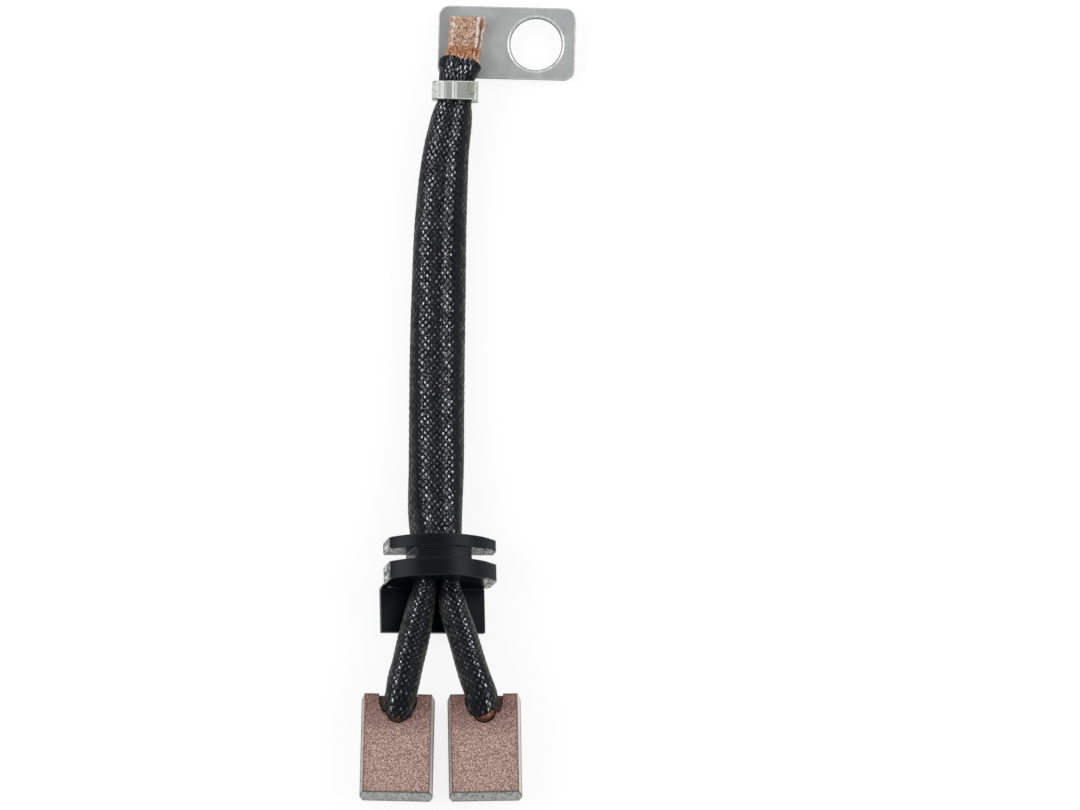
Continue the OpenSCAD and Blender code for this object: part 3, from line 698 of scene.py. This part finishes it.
def block_side(name, base, specks=0.6, shade_at=()):
    """Pressed or ground copper graphite on the narrow sides, with painted light and shade by the way each face
    looks.

    shade_at lists pairs of heights between which a border of painted shade begins."""
    n = Nodes(name)
    at = n.places(1, (1, 1, 0.22))
    coarse = n.noise(at, 1.8, 4, 0.75)
    fine = n.noise(at, 4.0, 3, 0.75)
    cloud = n.noise(at, 0.5, 2, 0.5)
    chips = n.noise(at, 0.9, 2, 0.6)
    color = n.mix(n.ramp(cloud, 0.3, 0.7), rgb(base, 0.85), rgb(base, 1.12))
    color = n.mix(n.ramp(coarse, 0.51, 0.57, 0.0, specks), color, rgb(base, 0.2))
    color = n.mix(n.ramp(fine, 0.5, 0.58, 0.0, 0.75), color, rgb(base, 1.6))
    color = n.mix(n.ramp(chips, 0.7, 0.74, 0.0, 0.9), color, (0.03, 0.022, 0.025, 1))
    turned = n.faces()[0]
    # Painted highlight on faces that look towards +x, painted shade on faces that look towards -x
    color = n.mix(n.ramp(turned, 0.3, 0.8, 0.0, 0.85), color, rgb(base, 1.5, 1.42, 1.4))
    color = n.mix(n.ramp(turned, -0.3, -0.8, 0.0, 0.32), color, rgb(base, 0.4))
    z = n.split(n.places())[2]
    # Borders of painted shade beyond the given heights
    for light, dark in shade_at:
        color = n.mix(n.ramp(z, TABLE + light, TABLE + dark, 0.0, 0.8), color, rgb(base, 0.16))
    return n.finish(
        Base_Color=color, Metallic=0.1, Roughness=0.6,
        Normal=n.bump(n.add(coarse, fine), 0.07, 0.6))


# ------------------------------------------------------------------ sizes and colours
def color_prop(name, description, default):
    return bpy.props.FloatVectorProperty(
        name=name, description=description, default=default, subtype="COLOR", size=3, min=0, max=1)


def number_prop(name, description, default, **rest):
    return bpy.props.FloatProperty(name=name, description=description, default=default, **rest)


def length_prop(name, description, default):
    return number_prop(name, description, default, unit="LENGTH")


class SheetLook(bpy.types.PropertyGroup):
    edge: length_prop("Edge", "Rounding of the stamped edges", 0.00017)
    plate_color: color_prop("Plate colour", "Colour of the tinned sheet", (0.63, 0.65, 0.64))
    lap_color: color_prop("Lap colour", "Colour of the strap's lap", (0.5, 0.51, 0.465))
    plate_roughness: number_prop("Roughness", "Roughness of the tinned sheet", 0.46, min=0, max=1)


class LeadLook(bpy.types.PropertyGroup):
    cell: length_prop("Braid pitch", "Length of one braid cell along the lead", 0.00127)
    braid_color: color_prop("Braid colour", "Colour of the lacquered yarns", (0.0058, 0.0064, 0.0088))
    # Colour of the painted sheen at the sides of the sleeves
    side_sheen_color: color_prop("Side colour", "Colour of the yarns at the sides of the sleeves", (0.16, 0.168, 0.15))
    # Strength of the painted glints on the yarns
    painted_glint: number_prop("Flecks", "Strength of the bright flecks on the yarns", 0.95, min=0, max=1)
    copper_color: color_prop("Copper colour", "Colour of the bare wires", (0.95, 0.52, 0.31))
    weld_color: color_prop("Weld colour", "Colour of the pressed copper of the weld", (0.86, 0.6, 0.46))


class GrommetLook(bpy.types.PropertyGroup):
    edge: length_prop("Edge", "Rounding of the moulded edges", 0.00017)
    rubber_color: color_prop("Rubber colour", "Colour of the moulded rubber", (0.0032, 0.0040, 0.0060))
    rubber_roughness: number_prop("Roughness", "Roughness of the rubber", 0.3, min=0, max=1)


class BlockLook(bpy.types.PropertyGroup):
    edge: length_prop("Edge", "Rounding of the pressed edges", 0.00015)
    face_color: color_prop("Face colour", "Colour of the copper-graphite face", (0.435, 0.26, 0.222))
    face_dark: color_prop("Rope end colour", "Colour of the face near the rope", (0.235, 0.11, 0.09))
    side_color: color_prop("Side colour", "Colour of the narrow sides", (0.56, 0.49, 0.46))
    end_color: color_prop("Wear face colour", "Colour of the ground wear face", (0.37, 0.366, 0.338))


class StageLook(bpy.types.PropertyGroup):
    lens: number_prop("Lens", "Focal length in millimetres", 1225.8, min=50)
    distance: length_prop("Distance", "From the camera to the table", 6.0)
    elevation: number_prop("Elevation", "Height of the view above the horizon", math.radians(77), subtype="ANGLE")


LOOKS = {
    "sheet_look": SheetLook, "lead_look": LeadLook, "grommet_look": GrommetLook,
    "block_look": BlockLook, "stage_look": StageLook,
}


# ------------------------------------------------------------------ braided sleeves
def braid_height(a, b):
    """Height of a plain braid at phases a and b of its two families of yarns, from 0 to 1."""
    fa, fb = a - math.floor(a) - 0.5, b - math.floor(b) - 0.5
    over = 1 if (math.floor(a) + math.floor(b)) % 2 == 0 else -1
    ha = 0.62 * math.sqrt(max(0, 1 - (2 * fa) ** 2)) + 0.38 * over * math.cos(math.pi * fb)
    hb = 0.62 * math.sqrt(max(0, 1 - (2 * fb) ** 2)) - 0.38 * over * math.cos(math.pi * fa)
    return max(ha, hb)


def bell(x, centre, half):
    """1 at the centre, falling softly to 0 beyond half."""
    return max(0.0, min(1.0, 1.5 - abs(x - centre) / half)) ** 1.5


def peak(x, centre, width):
    """1 at the centre, falling like a bell curve."""
    return math.exp(-((x - centre) / width) ** 2)


def braided_tube(name, rows, outline, round_cells, cell, points, glint_band, slant, seed, arch=0.0):
    """A braided sleeve whose yarns stand in relief.

    outline(i, grow) is its outline at row i, glint_band(x, y, w) is the strength of the painted glints at a point of
    the outline, w of the way along, slant(i) leans row i, and arch draws the upper side of the first rows back."""
    frames = ring_frames(rows)
    dice = random.Random(seed)
    count, rim, relief, at = len(rows), 0.05 if arch else 0.16, 0.14, 0.0
    ragged = [dice.uniform(-1, 1) for _ in range(points)]
    ragged = [(ragged[i - 1] + 2 * ragged[i] + ragged[(i + 1) % points]) / 4 for i in range(points)]

    def push(i, j, ny):
        """How far a point moves along the sleeve: the ragged cut at both ends and the arch of the mouth."""
        end = max(0, 1 - min(i, count - 1 - i) / 5)
        return rim * ragged[j] * end - arch * (max(0, ny) - 0.2) * max(0, 1 - i / 14)

    lifts = {}
    verts, crown, bright, sides, phase = [], [], [], [], []
    for i, (centre, side, up, t) in enumerate(frames):
        if i:
            at += (centre - frames[i - 1][0]).length
        pts, normals = even_outline(outline(i, SLEEVE_GROW), points)
        lean = slant(i)
        for j, ((x, y), (nx, ny)) in enumerate(zip(pts, normals)):
            p = j / points * round_cells + 0.1 * noise.noise(Vector((x * 0.9, at * 0.5, y * 0.9 + seed * 7)))
            q = at / cell + 0.16 * noise.noise(Vector((x * 0.7 + 9, at * 0.4, y * 0.7)))
            h = braid_height(p + q, p - q)
            key = (math.floor(p + q) % round_cells, math.floor(p - q) % round_cells, math.floor(q))
            if key not in lifts:
                lifts[key] = 0.03 * (dice.random() - 0.5)
            lift = relief * (h - 1) + lifts[key]
            verts.append(centre + (x + nx * lift) * (side + lean * t) + (y + ny * lift) * up + push(i, j, ny) * t)
            crown.append(max(0.0, h))
            bright.append(glint_band(x, y, i / (count - 1)))
            # Strength of the painted sheen at the sides, from the outline's sideways normal
            sides.append(max(0.0, min(1.0, (abs(nx) - 0.55) / 0.35)) * min(1.0, max(0.0, at - 3.0) / 4.0))
            phase.append((p, q))
    # The inner skin, with fewer rows
    inner = sorted(set(range(0, count, 6)) | {count - 1})
    base = len(verts)
    for i in inner:
        centre, side, up, t = frames[i]
        pts, normals = even_outline(outline(i, SLEEVE_FIT + 0.12), points)
        lean = slant(i)
        for j, ((x, y), (_, ny)) in enumerate(zip(pts, normals)):
            verts.append(centre + x * (side + lean * t) + y * up + push(i, j, ny) * t)
            crown.append(0.3)
            bright.append(0.0)
            sides.append(0.0)
            phase.append((j / points * round_cells, i))
    faces, uvs = [], []

    def strip(a, b):
        for j in range(points):
            k, turn = (j + 1) % points, round_cells if j == points - 1 else 0
            faces.append((a + j, b + j, b + k, a + k))
            uvs.append((phase[a + j], phase[b + j], (phase[b + k][0] + turn, phase[b + k][1]),
                        (phase[a + k][0] + turn, phase[a + k][1])))

    for i in range(count - 1):
        strip(i * points, (i + 1) * points)
    for m in range(len(inner) - 1):
        strip(base + (m + 1) * points, base + m * points)
    strip(base, 0)
    strip((count - 1) * points, base + (len(inner) - 1) * points)
    return add_mesh(name, verts, faces, uvs, {"crown": crown, "glint_band": bright, "edge": sides})


def swept(paths):
    """Points, faces and UVs of round strands; each path is a list of (point, radius)."""
    sides = 8
    verts, faces, uvs = [], [], []
    for path in paths:
        base, n, at = len(verts), len(path), 0.0
        up = Vector((0, 0, 1))
        for i, (p, r) in enumerate(path):
            t = (path[min(i + 1, n - 1)][0] - path[max(i - 1, 0)][0]).normalized()
            side = t.cross(up)
            side = side.normalized() if side.length > 1e-3 else Vector((1, 0, 0))
            up = side.cross(t).normalized()
            for j in range(sides):
                g = 2 * math.pi * j / sides
                verts.append(p + r * (math.cos(g) * side + math.sin(g) * up))
        for i in range(n - 1):
            step = (path[i + 1][0] - path[i][0]).length
            for j in range(sides):
                k = (j + 1) % sides
                a = base + i * sides
                faces.append((a + j, a + k, a + sides + k, a + sides + j))
                u0, u1 = j / sides * 3, (j + 1) / sides * 3
                uvs.append(((u0, at), (u1, at), (u1, at + step), (u0, at + step)))
            at += step
        faces.append(tuple(base + j for j in reversed(range(sides))))
        uvs.append(((0.5, 0.0),) * sides)
        faces.append(tuple(base + (n - 1) * sides + j for j in range(sides)))
        uvs.append(((0.5, at),) * sides)
    return verts, faces, uvs


def bent(points, radius, steps):
    """A smooth round strand through a few points."""
    return [(Vector(p), radius) for p in smooth([tuple(p) for p in points], steps)]


# ------------------------------------------------------------------ operators
class BRUSHSET_OT_terminal(bpy.types.Operator):
    """Makes the stamped terminal with its crimp strap"""

    bl_idname = "brushset.terminal"
    bl_label = "Terminal"

    def execute(self, context):
        look = context.scene.sheet_look
        obj = copy_of(
            "terminal", "terminal_sheet", look.edge / MM, 2, 1,
            lambda p, length: p.y > PLATE_LOW or length > 0.12 and math.hypot(p.x - MARK_X, p.y - MARK_Y) > 1.4)
        seat(obj, [tinned_steel(look), sheared_edge(look)], "tinned_steel", "terminal")
        return {"FINISHED"}


class BRUSHSET_OT_grommet(bpy.types.Operator):
    """Makes the moulded grommet"""

    bl_idname = "brushset.grommet"
    bl_label = "Grommet"

    def execute(self, context):
        look = context.scene.grommet_look
        obj = copy_of("grommet", "grommet_moulding", look.edge / MM, 3, 1)
        seat(obj, [moulded_rubber(look), rubber_edge(look)], "rubber_black", "grommet")
        return {"FINISHED"}


class BRUSHSET_OT_blocks(bpy.types.Operator):
    """Makes the two copper-graphite blocks"""

    bl_idname = "brushset.blocks"
    bl_label = "Brush blocks"

    def execute(self, context):
        look = context.scene.block_look
        finishes = [
            block_face(look),
            block_side("Pressed side", look.side_color, 0.6, [(5.0, 4.2)]),
            block_side("Ground wear face", look.end_color, 0.85, [(1.0, 0.3), (6.1, 6.7)]),
            # Painted shade, dark brown, inside the rope's socket
            block_side("Rope socket", [c * 0.5 for c in look.face_dark]),
            # Painted shade, dark, on the rounded edges of the blocks
            block_side("Edge shade", [c * 0.22 for c in look.side_color]),
        ]
        for node, place in BRUSH_PLACES.items():
            turn = Matrix.Rotation(-place[2], 3, "Z")
            origin = Vector((place[0], place[1], TABLE))

            def outer(p, length, turn=turn, origin=origin):
                at = turn @ (p - origin)
                return length > 1 and not (abs(at.x) < 3.6 and at.y > -5.3 and at.z > 1)

            obj = copy_of(node, node.replace("brush", "block"), look.edge / MM, 2, EDGE_SHADE, outer)
            mesh = obj.data
            layer = mesh.uv_layers.active or mesh.uv_layers.new(name="UVMap")
            for face in mesh.polygons:
                c = turn @ (face.center / MM - origin)
                nrm = turn @ face.normal
                inside = abs(c.x) < 3.3 and c.y > -5.2 and c.z > 1.5
                if face.material_index != EDGE_SHADE or c.z <= 0.3 or inside:
                    if inside and c.y > -2.2 and nrm.z > 0.97:
                        face.material_index = FACE
                    elif inside and (nrm.z < 0.97 or c.z < BRUSH_T - 0.1) and not (c.y > -0.02 and nrm.y > 0.9):
                        face.material_index = SOCKET
                    else:
                        face.material_index = FACE if nrm.z > 0.97 else WEAR if nrm.y < -0.9 else SIDE
                for li in face.loop_indices:
                    p = turn @ (mesh.vertices[mesh.loops[li].vertex_index].co / MM - origin)
                    uv = (p.x, -p.y) if abs(nrm.z) > 0.5 else (p.y, p.z) if abs(nrm.x) > 0.5 else (p.x, p.z)
                    layer.data[li].uv = uv
            seat(obj, finishes, "graphite", node)
        return {"FINISHED"}


class BRUSHSET_OT_long_sleeve(bpy.types.Operator):
    """Makes the braided sleeve over both ropes"""

    bl_idname = "brushset.long_sleeve"
    bl_label = "Long sleeve"

    def execute(self, context):
        look = context.scene.lead_look
        rows = smooth(lead_rows(), FINE)[MOUTH_ROW * FINE:LONG_END_ROW * FINE + 1]
        rows = cut_even(rows, look.cell / MM / 6.4)

        def glint_band(x, y, w):
            """Bands of painted glints along both crests, drawn to the left in the upper half"""
            k = rows[int(w * (len(rows) - 1))][3]
            shift = -0.5 * bell(w, 0.3, 0.25)
            left, right, low = bell(x, -1.95 * k + shift, 0.8), bell(x, 1.75 * k + shift, 0.85), bell(x, shift, 2.2)
            mouth = bell(w, 0.0, 0.035)
            return min(1.0, max(left, right, 0.22 * low, mouth * bell(x, 0, 2.0))) if y > 0 else 0.0

        def outline(i, grow):
            r = rows[i]
            slack = max(r[5], 0)
            a, b = r[3] * ROPE_R, r[4] * ROPE_R
            pts = pair_outline(a + SEAT_GAP, a + grow + slack, b + grow + slack, 0.55)
            return [(x - 0.3 * slack - 0.15 * slack * x, y + 0.7 * slack) for x, y in pts]

        obj = braided_tube(
            "braid_long", rows, outline, LONG_CELLS, look.cell / MM, LONG_POINTS, glint_band,
            lambda i: -0.25 * max(rows[i][5], 0), 3, arch=0.55)
        seat(obj, [braid_yarn(look)], "braid", "long_sleeve")
        return {"FINISHED"}


def rope_row(lead, frames, i, side):
    """Row i of the lead, moved from between the ropes to the middle of one rope."""
    r, (centre, l, _, _) = lead[i], frames[i]
    return row(centre + side * (r[3] * ROPE_R + SEAT_GAP + max(r[6], 0)) * l, r[3], r[4], r[7])


def tail_rows(side):
    """Rows of a rope from inside the grommet to the bottom of its hole."""
    node = "brush_left" if side < 0 else "brush_right"
    place, lean, over = BRUSH_PLACES[node], -0.5 * side, BRUSH_T + 1.5
    lead = smooth(lead_rows(), 2)
    frames = ring_frames(lead)
    start = [rope_row(lead, frames, i, side) for i in (len(lead) - 3, len(lead) - 1)]
    if side < 0:
        route = [(-18.8, -95.5, 6.6, 0.86, 1.08, 0.6), (-19.9, -100.7, 7.3, 1, 1, 0.2),
                 (-20.8, -104.9, 8.1, 1, 1, 0), (-21.5, -107.9, over + 0.1, 1.05, 1, 0)]
    else:
        route = [(-13.5, -95.5, 6.6, 0.86, 1.08, 0.6), (-11.85, -100.7, 7.3, 0.93, 1.03, 0.2),
                 (-10.7, -104.9, 8.1, 0.97, 1, 0), (-9.8, -107.9, over + 0.1, 1, 1, 0)]
    rows = start + [(x, y, TABLE + z, a, b, r) for x, y, z, a, b, r in route]
    rows.append(row(on_brush(place, lean, 0.2, over), 1, 1, 0))
    rows.append(row(on_brush(place, 0.4 * lean, 1.7, BRUSH_T + 0.85), 1, 1, 0))
    for k in range(4):
        z = BRUSH_T - 0.2 - k * (BRUSH_T - 0.2 - HOLE_FLOOR) / 3
        rows.append(row(on_brush(place, 0, HOLE_INSET + (BRUSH_T - z) / math.tan(HOLE_SLOPE), z), 1, 1, 0))
    return rows


class BRUSHSET_OT_short_sleeves(bpy.types.Operator):
    """Makes the braided sleeve of each rope below the grommet"""

    bl_idname = "brushset.short_sleeves"
    bl_label = "Short sleeves"

    def execute(self, context):
        look = context.scene.lead_look
        finish = bpy.data.materials["Lacquered braid"]
        for side, node, cut in ((-1, "sleeve_left", 0.2), (1, "sleeve_right", -0.2)):
            rows = smooth(tail_rows(side), FINE)[:int((7.75 if side < 0 else 7.58) * FINE) + 1]
            cell = look.cell / MM * 0.83
            rows = cut_even(rows, cell / 7)
            last = len(rows) - 1

            def glint_band(x, y, w, side=side):
                """A band of painted glints on the outer side of each rope"""
                band = bell(x, side * (0.85 + 0.3 * w * (side < 0)), 0.36)
                back = 0.45 * bell(x, -0.9, 0.4) * max(0, 1 - w) if side > 0 else 0.0
                return min(1.0, max(1.25 * band, back, 0.13 * bell(x, 0, 1.4))) if y > 0 else 0.0

            def outline(i, grow, rows=rows):
                return single_outline(rows[i][3] * ROPE_R + grow, rows[i][4] * ROPE_R + grow)

            obj = braided_tube(
                "braid" + node[6:], rows, outline, SHORT_CELLS, cell, SHORT_POINTS, glint_band,
                lambda i, last=last, cut=cut: cut * max(0, 1 - (last - i) / 12), 5 + side)
            seat(obj, [finish], "braid", node)
        return {"FINISHED"}


class BRUSHSET_OT_ropes(bpy.types.Operator):
    """Makes the two stranded ropes, the weld on the plate and the loose strands below it"""

    bl_idname = "brushset.ropes"
    bl_label = "Ropes and weld"

    def rope(self, side, node, finish):
        lead = smooth(lead_rows(), 4)
        frames = ring_frames(lead)
        rows = [rope_row(lead, frames, i, side) for i in range(3 * 4, len(lead) - 4)]
        rows += smooth(tail_rows(side), 6)[6:]
        rows = cut_even(rows, 0.5)
        points, verts, faces, uvs, at = 40, [], [], [], 0.0
        frames = ring_frames(rows)
        for i, (centre, l, up, _) in enumerate(frames):
            at += (centre - frames[i - 1][0]).length if i else 0
            for j in range(points):
                g = 2 * math.pi * j / points
                lift = -0.16 * (1 - abs(math.cos(3.5 * g + at * 0.8)))
                a, b = rows[i][3] * ROPE_R + lift, rows[i][4] * ROPE_R + lift
                verts.append(centre + a * math.cos(g) * l + b * math.sin(g) * up)
        for i in range(len(rows) - 1):
            for j in range(points):
                k = (j + 1) % points
                faces.append((i * points + j, (i + 1) * points + j, (i + 1) * points + k, i * points + k))
                u0, u1, v = j / points * 12, (j + 1) / points * 12, i * 0.5
                uvs.append(((u0, v), (u0, v + 0.5), (u1, v + 0.5), (u1, v)))
        faces.append(tuple(range(points)))
        uvs.append(((0, 0),) * points)
        faces.append(tuple((len(rows) - 1) * points + j for j in reversed(range(points))))
        uvs.append(((0, 0),) * points)
        obj = add_mesh(node + "_strands", verts, faces, uvs)
        seat(obj, [finish], "copper", node)

    def weld(self, finish):
        """A grid pressed into the shape of the weld, with its sides drawn down to the plate"""
        fresh()
        bpy.ops.mesh.primitive_grid_add(x_subdivisions=60, y_subdivisions=52, size=1)
        obj = bpy.context.active_object
        obj.name = obj.data.name = "weld_pad"
        bpy.ops.object.mode_set(mode="EDIT")
        bpy.ops.mesh.select_all(action="DESELECT")
        bpy.ops.mesh.select_mode(type="EDGE")
        bpy.ops.mesh.select_non_manifold()
        bpy.ops.mesh.extrude_region_move(TRANSFORM_OT_translate={"value": (0, 0, -1)})
        bpy.ops.mesh.edge_face_add()
        bpy.ops.object.mode_set(mode="OBJECT")
        top = PAD_Z + 0.54 * ROPE_R + 0.02
        painted_light = []
        for v in obj.data.vertices:
            u, w = v.co.x * 2, v.co.y + 0.5
            edge = max(abs(u), abs(2 * w - 1))
            half = 2.7 + 0.06 * w + 0.1 * noise.noise(Vector((w * 6, u * 0.5, 3)))
            flap = max(0, (u - 0.88) / 0.12) * bell(w, 0.76, 0.2)
            x = 1.35 + 0.35 * w + half * u + 0.55 * flap
            uneven = u + 0.05 * noise.noise(Vector((w * 5, 2, u)))
            patch = 0.75 + 0.9 * noise.noise(Vector((w * 9, u * 3, 8)))
            # Strength of the painted highlight along the ridges and the left edge, less the painted shade in the
            # groove
            glow = max(peak(uneven, 0.68, 0.09), peak(uneven, 0.95, 0.04), 0.6 * peak(uneven, -0.8, 0.11))
            painted_light.append(glow * patch - 0.8 * peak(uneven, 0.84, 0.035))
            y = WELD_START - 0.25 + (WELD_L + 0.2) * w + 0.16 * noise.noise(Vector((u * 4, 5, w)))
            if v.co.z < -0.5:
                z = SHEET_T + 0.02
            else:
                ridge = 0.3 * peak(uneven, 0.68, 0.1) + 0.1 * peak(uneven, 0.95, 0.05)
                fall = -0.2 * peak(uneven, 0.84, 0.05) + 0.15 * flap
                left = -0.35 * max(0, (-u - 0.75) / 0.25) ** 2
                print_mark = 0.09 * noise.noise(Vector((u * 13, w * 12, 1)))
                print_mark += 0.06 * noise.noise(Vector((u * 27, w * 25, 4)))
                end = -0.5 * max(0, (0.1 - w) / 0.1) ** 2 - 0.3 * max(0, (w - 0.95) / 0.05)
                z = top - 0.34 + ridge + fall + left + end + print_mark - (0.12 if edge > 0.995 else 0)
            v.co = by_strap(x, y, z) * MM
        obj.data.attributes.new("painted_light", "FLOAT", "POINT").data.foreach_set("value", painted_light)
        activate(obj)
        bpy.ops.object.mode_set(mode="EDIT")
        bpy.ops.mesh.select_all(action="SELECT")
        bpy.ops.mesh.normals_make_consistent(inside=False)
        bpy.ops.object.mode_set(mode="OBJECT")
        bpy.ops.object.shade_smooth_by_angle(angle=math.radians(50))
        seat(obj, [finish], "copper")

    def loose(self, finish):
        dice = random.Random(11)
        paths = []
        for k in range(36):
            f = (k + 0.5) / 36 * 2 - 1
            layer = k % 3
            low = 1.45 + 0.62 * layer
            z0 = low + 0.1 * dice.random()
            z1 = PAD_Z + 0.25 + 0.75 * layer + 0.25 * dice.random()
            swing = dice.uniform(-0.55, 0.55)
            points = [
                by_strap(1.35 + 2.4 * f, WELD_START + 0.5, z0),
                by_strap(1.3 + 2.4 * f + 0.3 * swing, WELD_START - 0.35, z0 + 0.1),
                by_strap(1.15 + 2.45 * f + swing, MOUTH_GAP + 1.7 + 0.3 * dice.random(), (z0 + z1) / 2 + 0.25),
                by_strap(0.95 + 2.35 * f - swing * 0.6, MOUTH_GAP + 0.75, z1 + 0.1),
                by_strap(0.95 + 2.1 * f, MOUTH_GAP - 0.4, z1),
                by_strap(0.8 + 1.8 * f, MOUTH_GAP - 1.4, z1 + 0.1),
            ]
            paths.append(bent(points, 0.2 + 0.07 * dice.random(), 5))
        for k in range(14):
            f = dice.uniform(-1, 1)
            points = [
                by_strap(1.3 + 2.35 * f, WELD_START + 0.2, 2.7),
                by_strap(1.2 + 2.5 * f + dice.uniform(-0.5, 0.5), WELD_START - 0.7, 3.2 + 0.3 * dice.random()),
                by_strap(1.05 + 2.45 * f + dice.uniform(-0.5, 0.5), MOUTH_GAP + 1.1, 3.5 + 0.3 * dice.random()),
                by_strap(0.95 + 2.3 * f, MOUTH_GAP - 0.3, 3.9),
            ]
            paths.append(bent(points, 0.13, 6))
        obj = add_mesh("loose_strands", *swept(paths))
        seat(obj, [finish], "copper")

    def execute(self, context):
        look = context.scene.lead_look
        wire = copper_wire(look)
        self.rope(-1, "rope_left", wire)
        self.rope(1, "rope_right", wire)
        self.weld(welded_copper(look))
        self.loose(wire)
        return {"FINISHED"}


class BRUSHSET_OT_stage(bpy.types.Operator):
    """Sets the white table, the soft lamps and the camera"""

    bl_idname = "brushset.stage"
    bl_label = "Stage"

    def lamp(self, name, place, size, power, target):
        data = bpy.data.lights.new(name, "AREA")
        data.shape, data.size, data.size_y, data.energy = "RECTANGLE", size[0], size[1], power
        obj = bpy.data.objects.new(name, data)
        obj.location = target + Vector(place)
        obj.rotation_mode = "QUATERNION"
        obj.rotation_quaternion = (-Vector(place)).to_track_quat("-Z", "Y")
        obj.visible_camera = False
        bpy.context.collection.objects.link(obj)

    def execute(self, context):
        look = context.scene.stage_look
        scene = context.scene
        fresh()
        bpy.ops.mesh.primitive_plane_add(size=6, location=(0, 0, CAD_BOX[0].z - 0.00002))
        floor = bpy.context.active_object
        floor.name = "table"
        n = Nodes("White table")
        n.finish(Base_Color=(0.9, 0.9, 0.9, 1), Roughness=0.9, Specular_IOR_Level=0.1)
        path = n.tree.nodes.new("ShaderNodeLightPath")
        glow = n.tree.nodes.new("ShaderNodeEmission")
        blend = n.tree.nodes.new("ShaderNodeMixShader")
        seen = n.most(path.outputs["Is Camera Ray"], path.outputs["Is Glossy Ray"])
        n.link(n.mul(seen, 0.78), blend.inputs[0])
        n.tree.links.new(n.shader.outputs[0], blend.inputs[1])
        n.tree.links.new(glow.outputs[0], blend.inputs[2])
        n.tree.links.new(blend.outputs[0], n.out.inputs["Surface"])
        glow.inputs["Strength"].default_value = 1.08
        floor.data.materials.append(n.material)

        world = bpy.data.worlds.new("Studio")
        world.use_nodes = True
        tree = world.node_tree
        tree.nodes.clear()
        make, link = tree.nodes.new, tree.links.new
        out, soft, white = make("ShaderNodeOutputWorld"), make("ShaderNodeBackground"), make("ShaderNodeBackground")
        blend, path = make("ShaderNodeMixShader"), make("ShaderNodeLightPath")
        coords, split, fall = make("ShaderNodeTexCoord"), make("ShaderNodeSeparateXYZ"), make("ShaderNodeMapRange")
        link(coords.outputs["Generated"], split.inputs[0])
        link(split.outputs[2], fall.inputs["Value"])
        fall.inputs["To Min"].default_value, fall.inputs["To Max"].default_value = 0.85, 0.4
        link(fall.outputs[0], soft.inputs[1])
        soft.inputs[0].default_value = (0.97, 0.99, 1, 1)
        link(path.outputs["Is Camera Ray"], blend.inputs[0])
        link(soft.outputs[0], blend.inputs[1])
        link(white.outputs[0], blend.inputs[2])
        link(blend.outputs[0], out.inputs[0])
        white.inputs[0].default_value = (1, 1, 1, 1)
        scene.world = world

        target = Vector((0.00065, -0.0601, CAD_BOX[0].z))
        self.lamp("Lamp left", (-0.9, 0.1, 0.75), (0.9, 0.7), 5.0, target)
        self.lamp("Lamp right", (0.9, 0.2, 0.8), (0.9, 0.7), 4.4, target)

        data = bpy.data.cameras.new("Camera")
        data.lens, data.sensor_width, data.clip_start, data.clip_end = look.lens, 36, 0.1, 50
        camera = bpy.data.objects.new("Camera", data)
        back_dir = Vector((0, -math.cos(look.elevation), math.sin(look.elevation)))
        camera.location = target + back_dir * look.distance
        camera.rotation_mode = "QUATERNION"
        camera.rotation_quaternion = (-back_dir).to_track_quat("-Z", "Y")
        bpy.context.collection.objects.link(camera)
        scene.camera = camera
        scene.view_settings.view_transform = "Standard"
        return {"FINISHED"}


OPERATORS = (
    BRUSHSET_OT_stage, BRUSHSET_OT_terminal, BRUSHSET_OT_grommet, BRUSHSET_OT_blocks,
    BRUSHSET_OT_long_sleeve, BRUSHSET_OT_short_sleeves, BRUSHSET_OT_ropes,
)


class BRUSHSET_PT_pieces(bpy.types.Panel):
    """Lists the pieces of the brush set"""

    bl_label = "Brush Set"
    bl_idname = "BRUSHSET_PT_pieces"
    bl_space_type = "VIEW_3D"
    bl_region_type = "UI"
    bl_category = "Brush Set"

    def draw(self, context):
        for op in OPERATORS:
            self.layout.operator(op.bl_idname)
        for key, group in LOOKS.items():
            box = self.layout.box()
            box.label(text=group.__name__)
            for prop in group.__annotations__:
                box.prop(getattr(context.scene, key), prop)


CLASSES = tuple(LOOKS.values()) + OPERATORS + (BRUSHSET_PT_pieces,)


def register():
    for c in CLASSES:
        bpy.utils.register_class(c)
    for key, group in LOOKS.items():
        setattr(bpy.types.Scene, key, bpy.props.PointerProperty(type=group))


def unregister():
    for key in LOOKS:
        delattr(bpy.types.Scene, key)
    for c in reversed(CLASSES):
        bpy.utils.unregister_class(c)


def main():
    register()
    bpy.ops.brushset.stage()
    bpy.ops.brushset.terminal()
    bpy.ops.brushset.grommet()
    bpy.ops.brushset.blocks()
    bpy.ops.brushset.long_sleeve()
    bpy.ops.brushset.short_sleeves()
    bpy.ops.brushset.ropes()
    fresh()


if __name__ == "__main__":
    main()
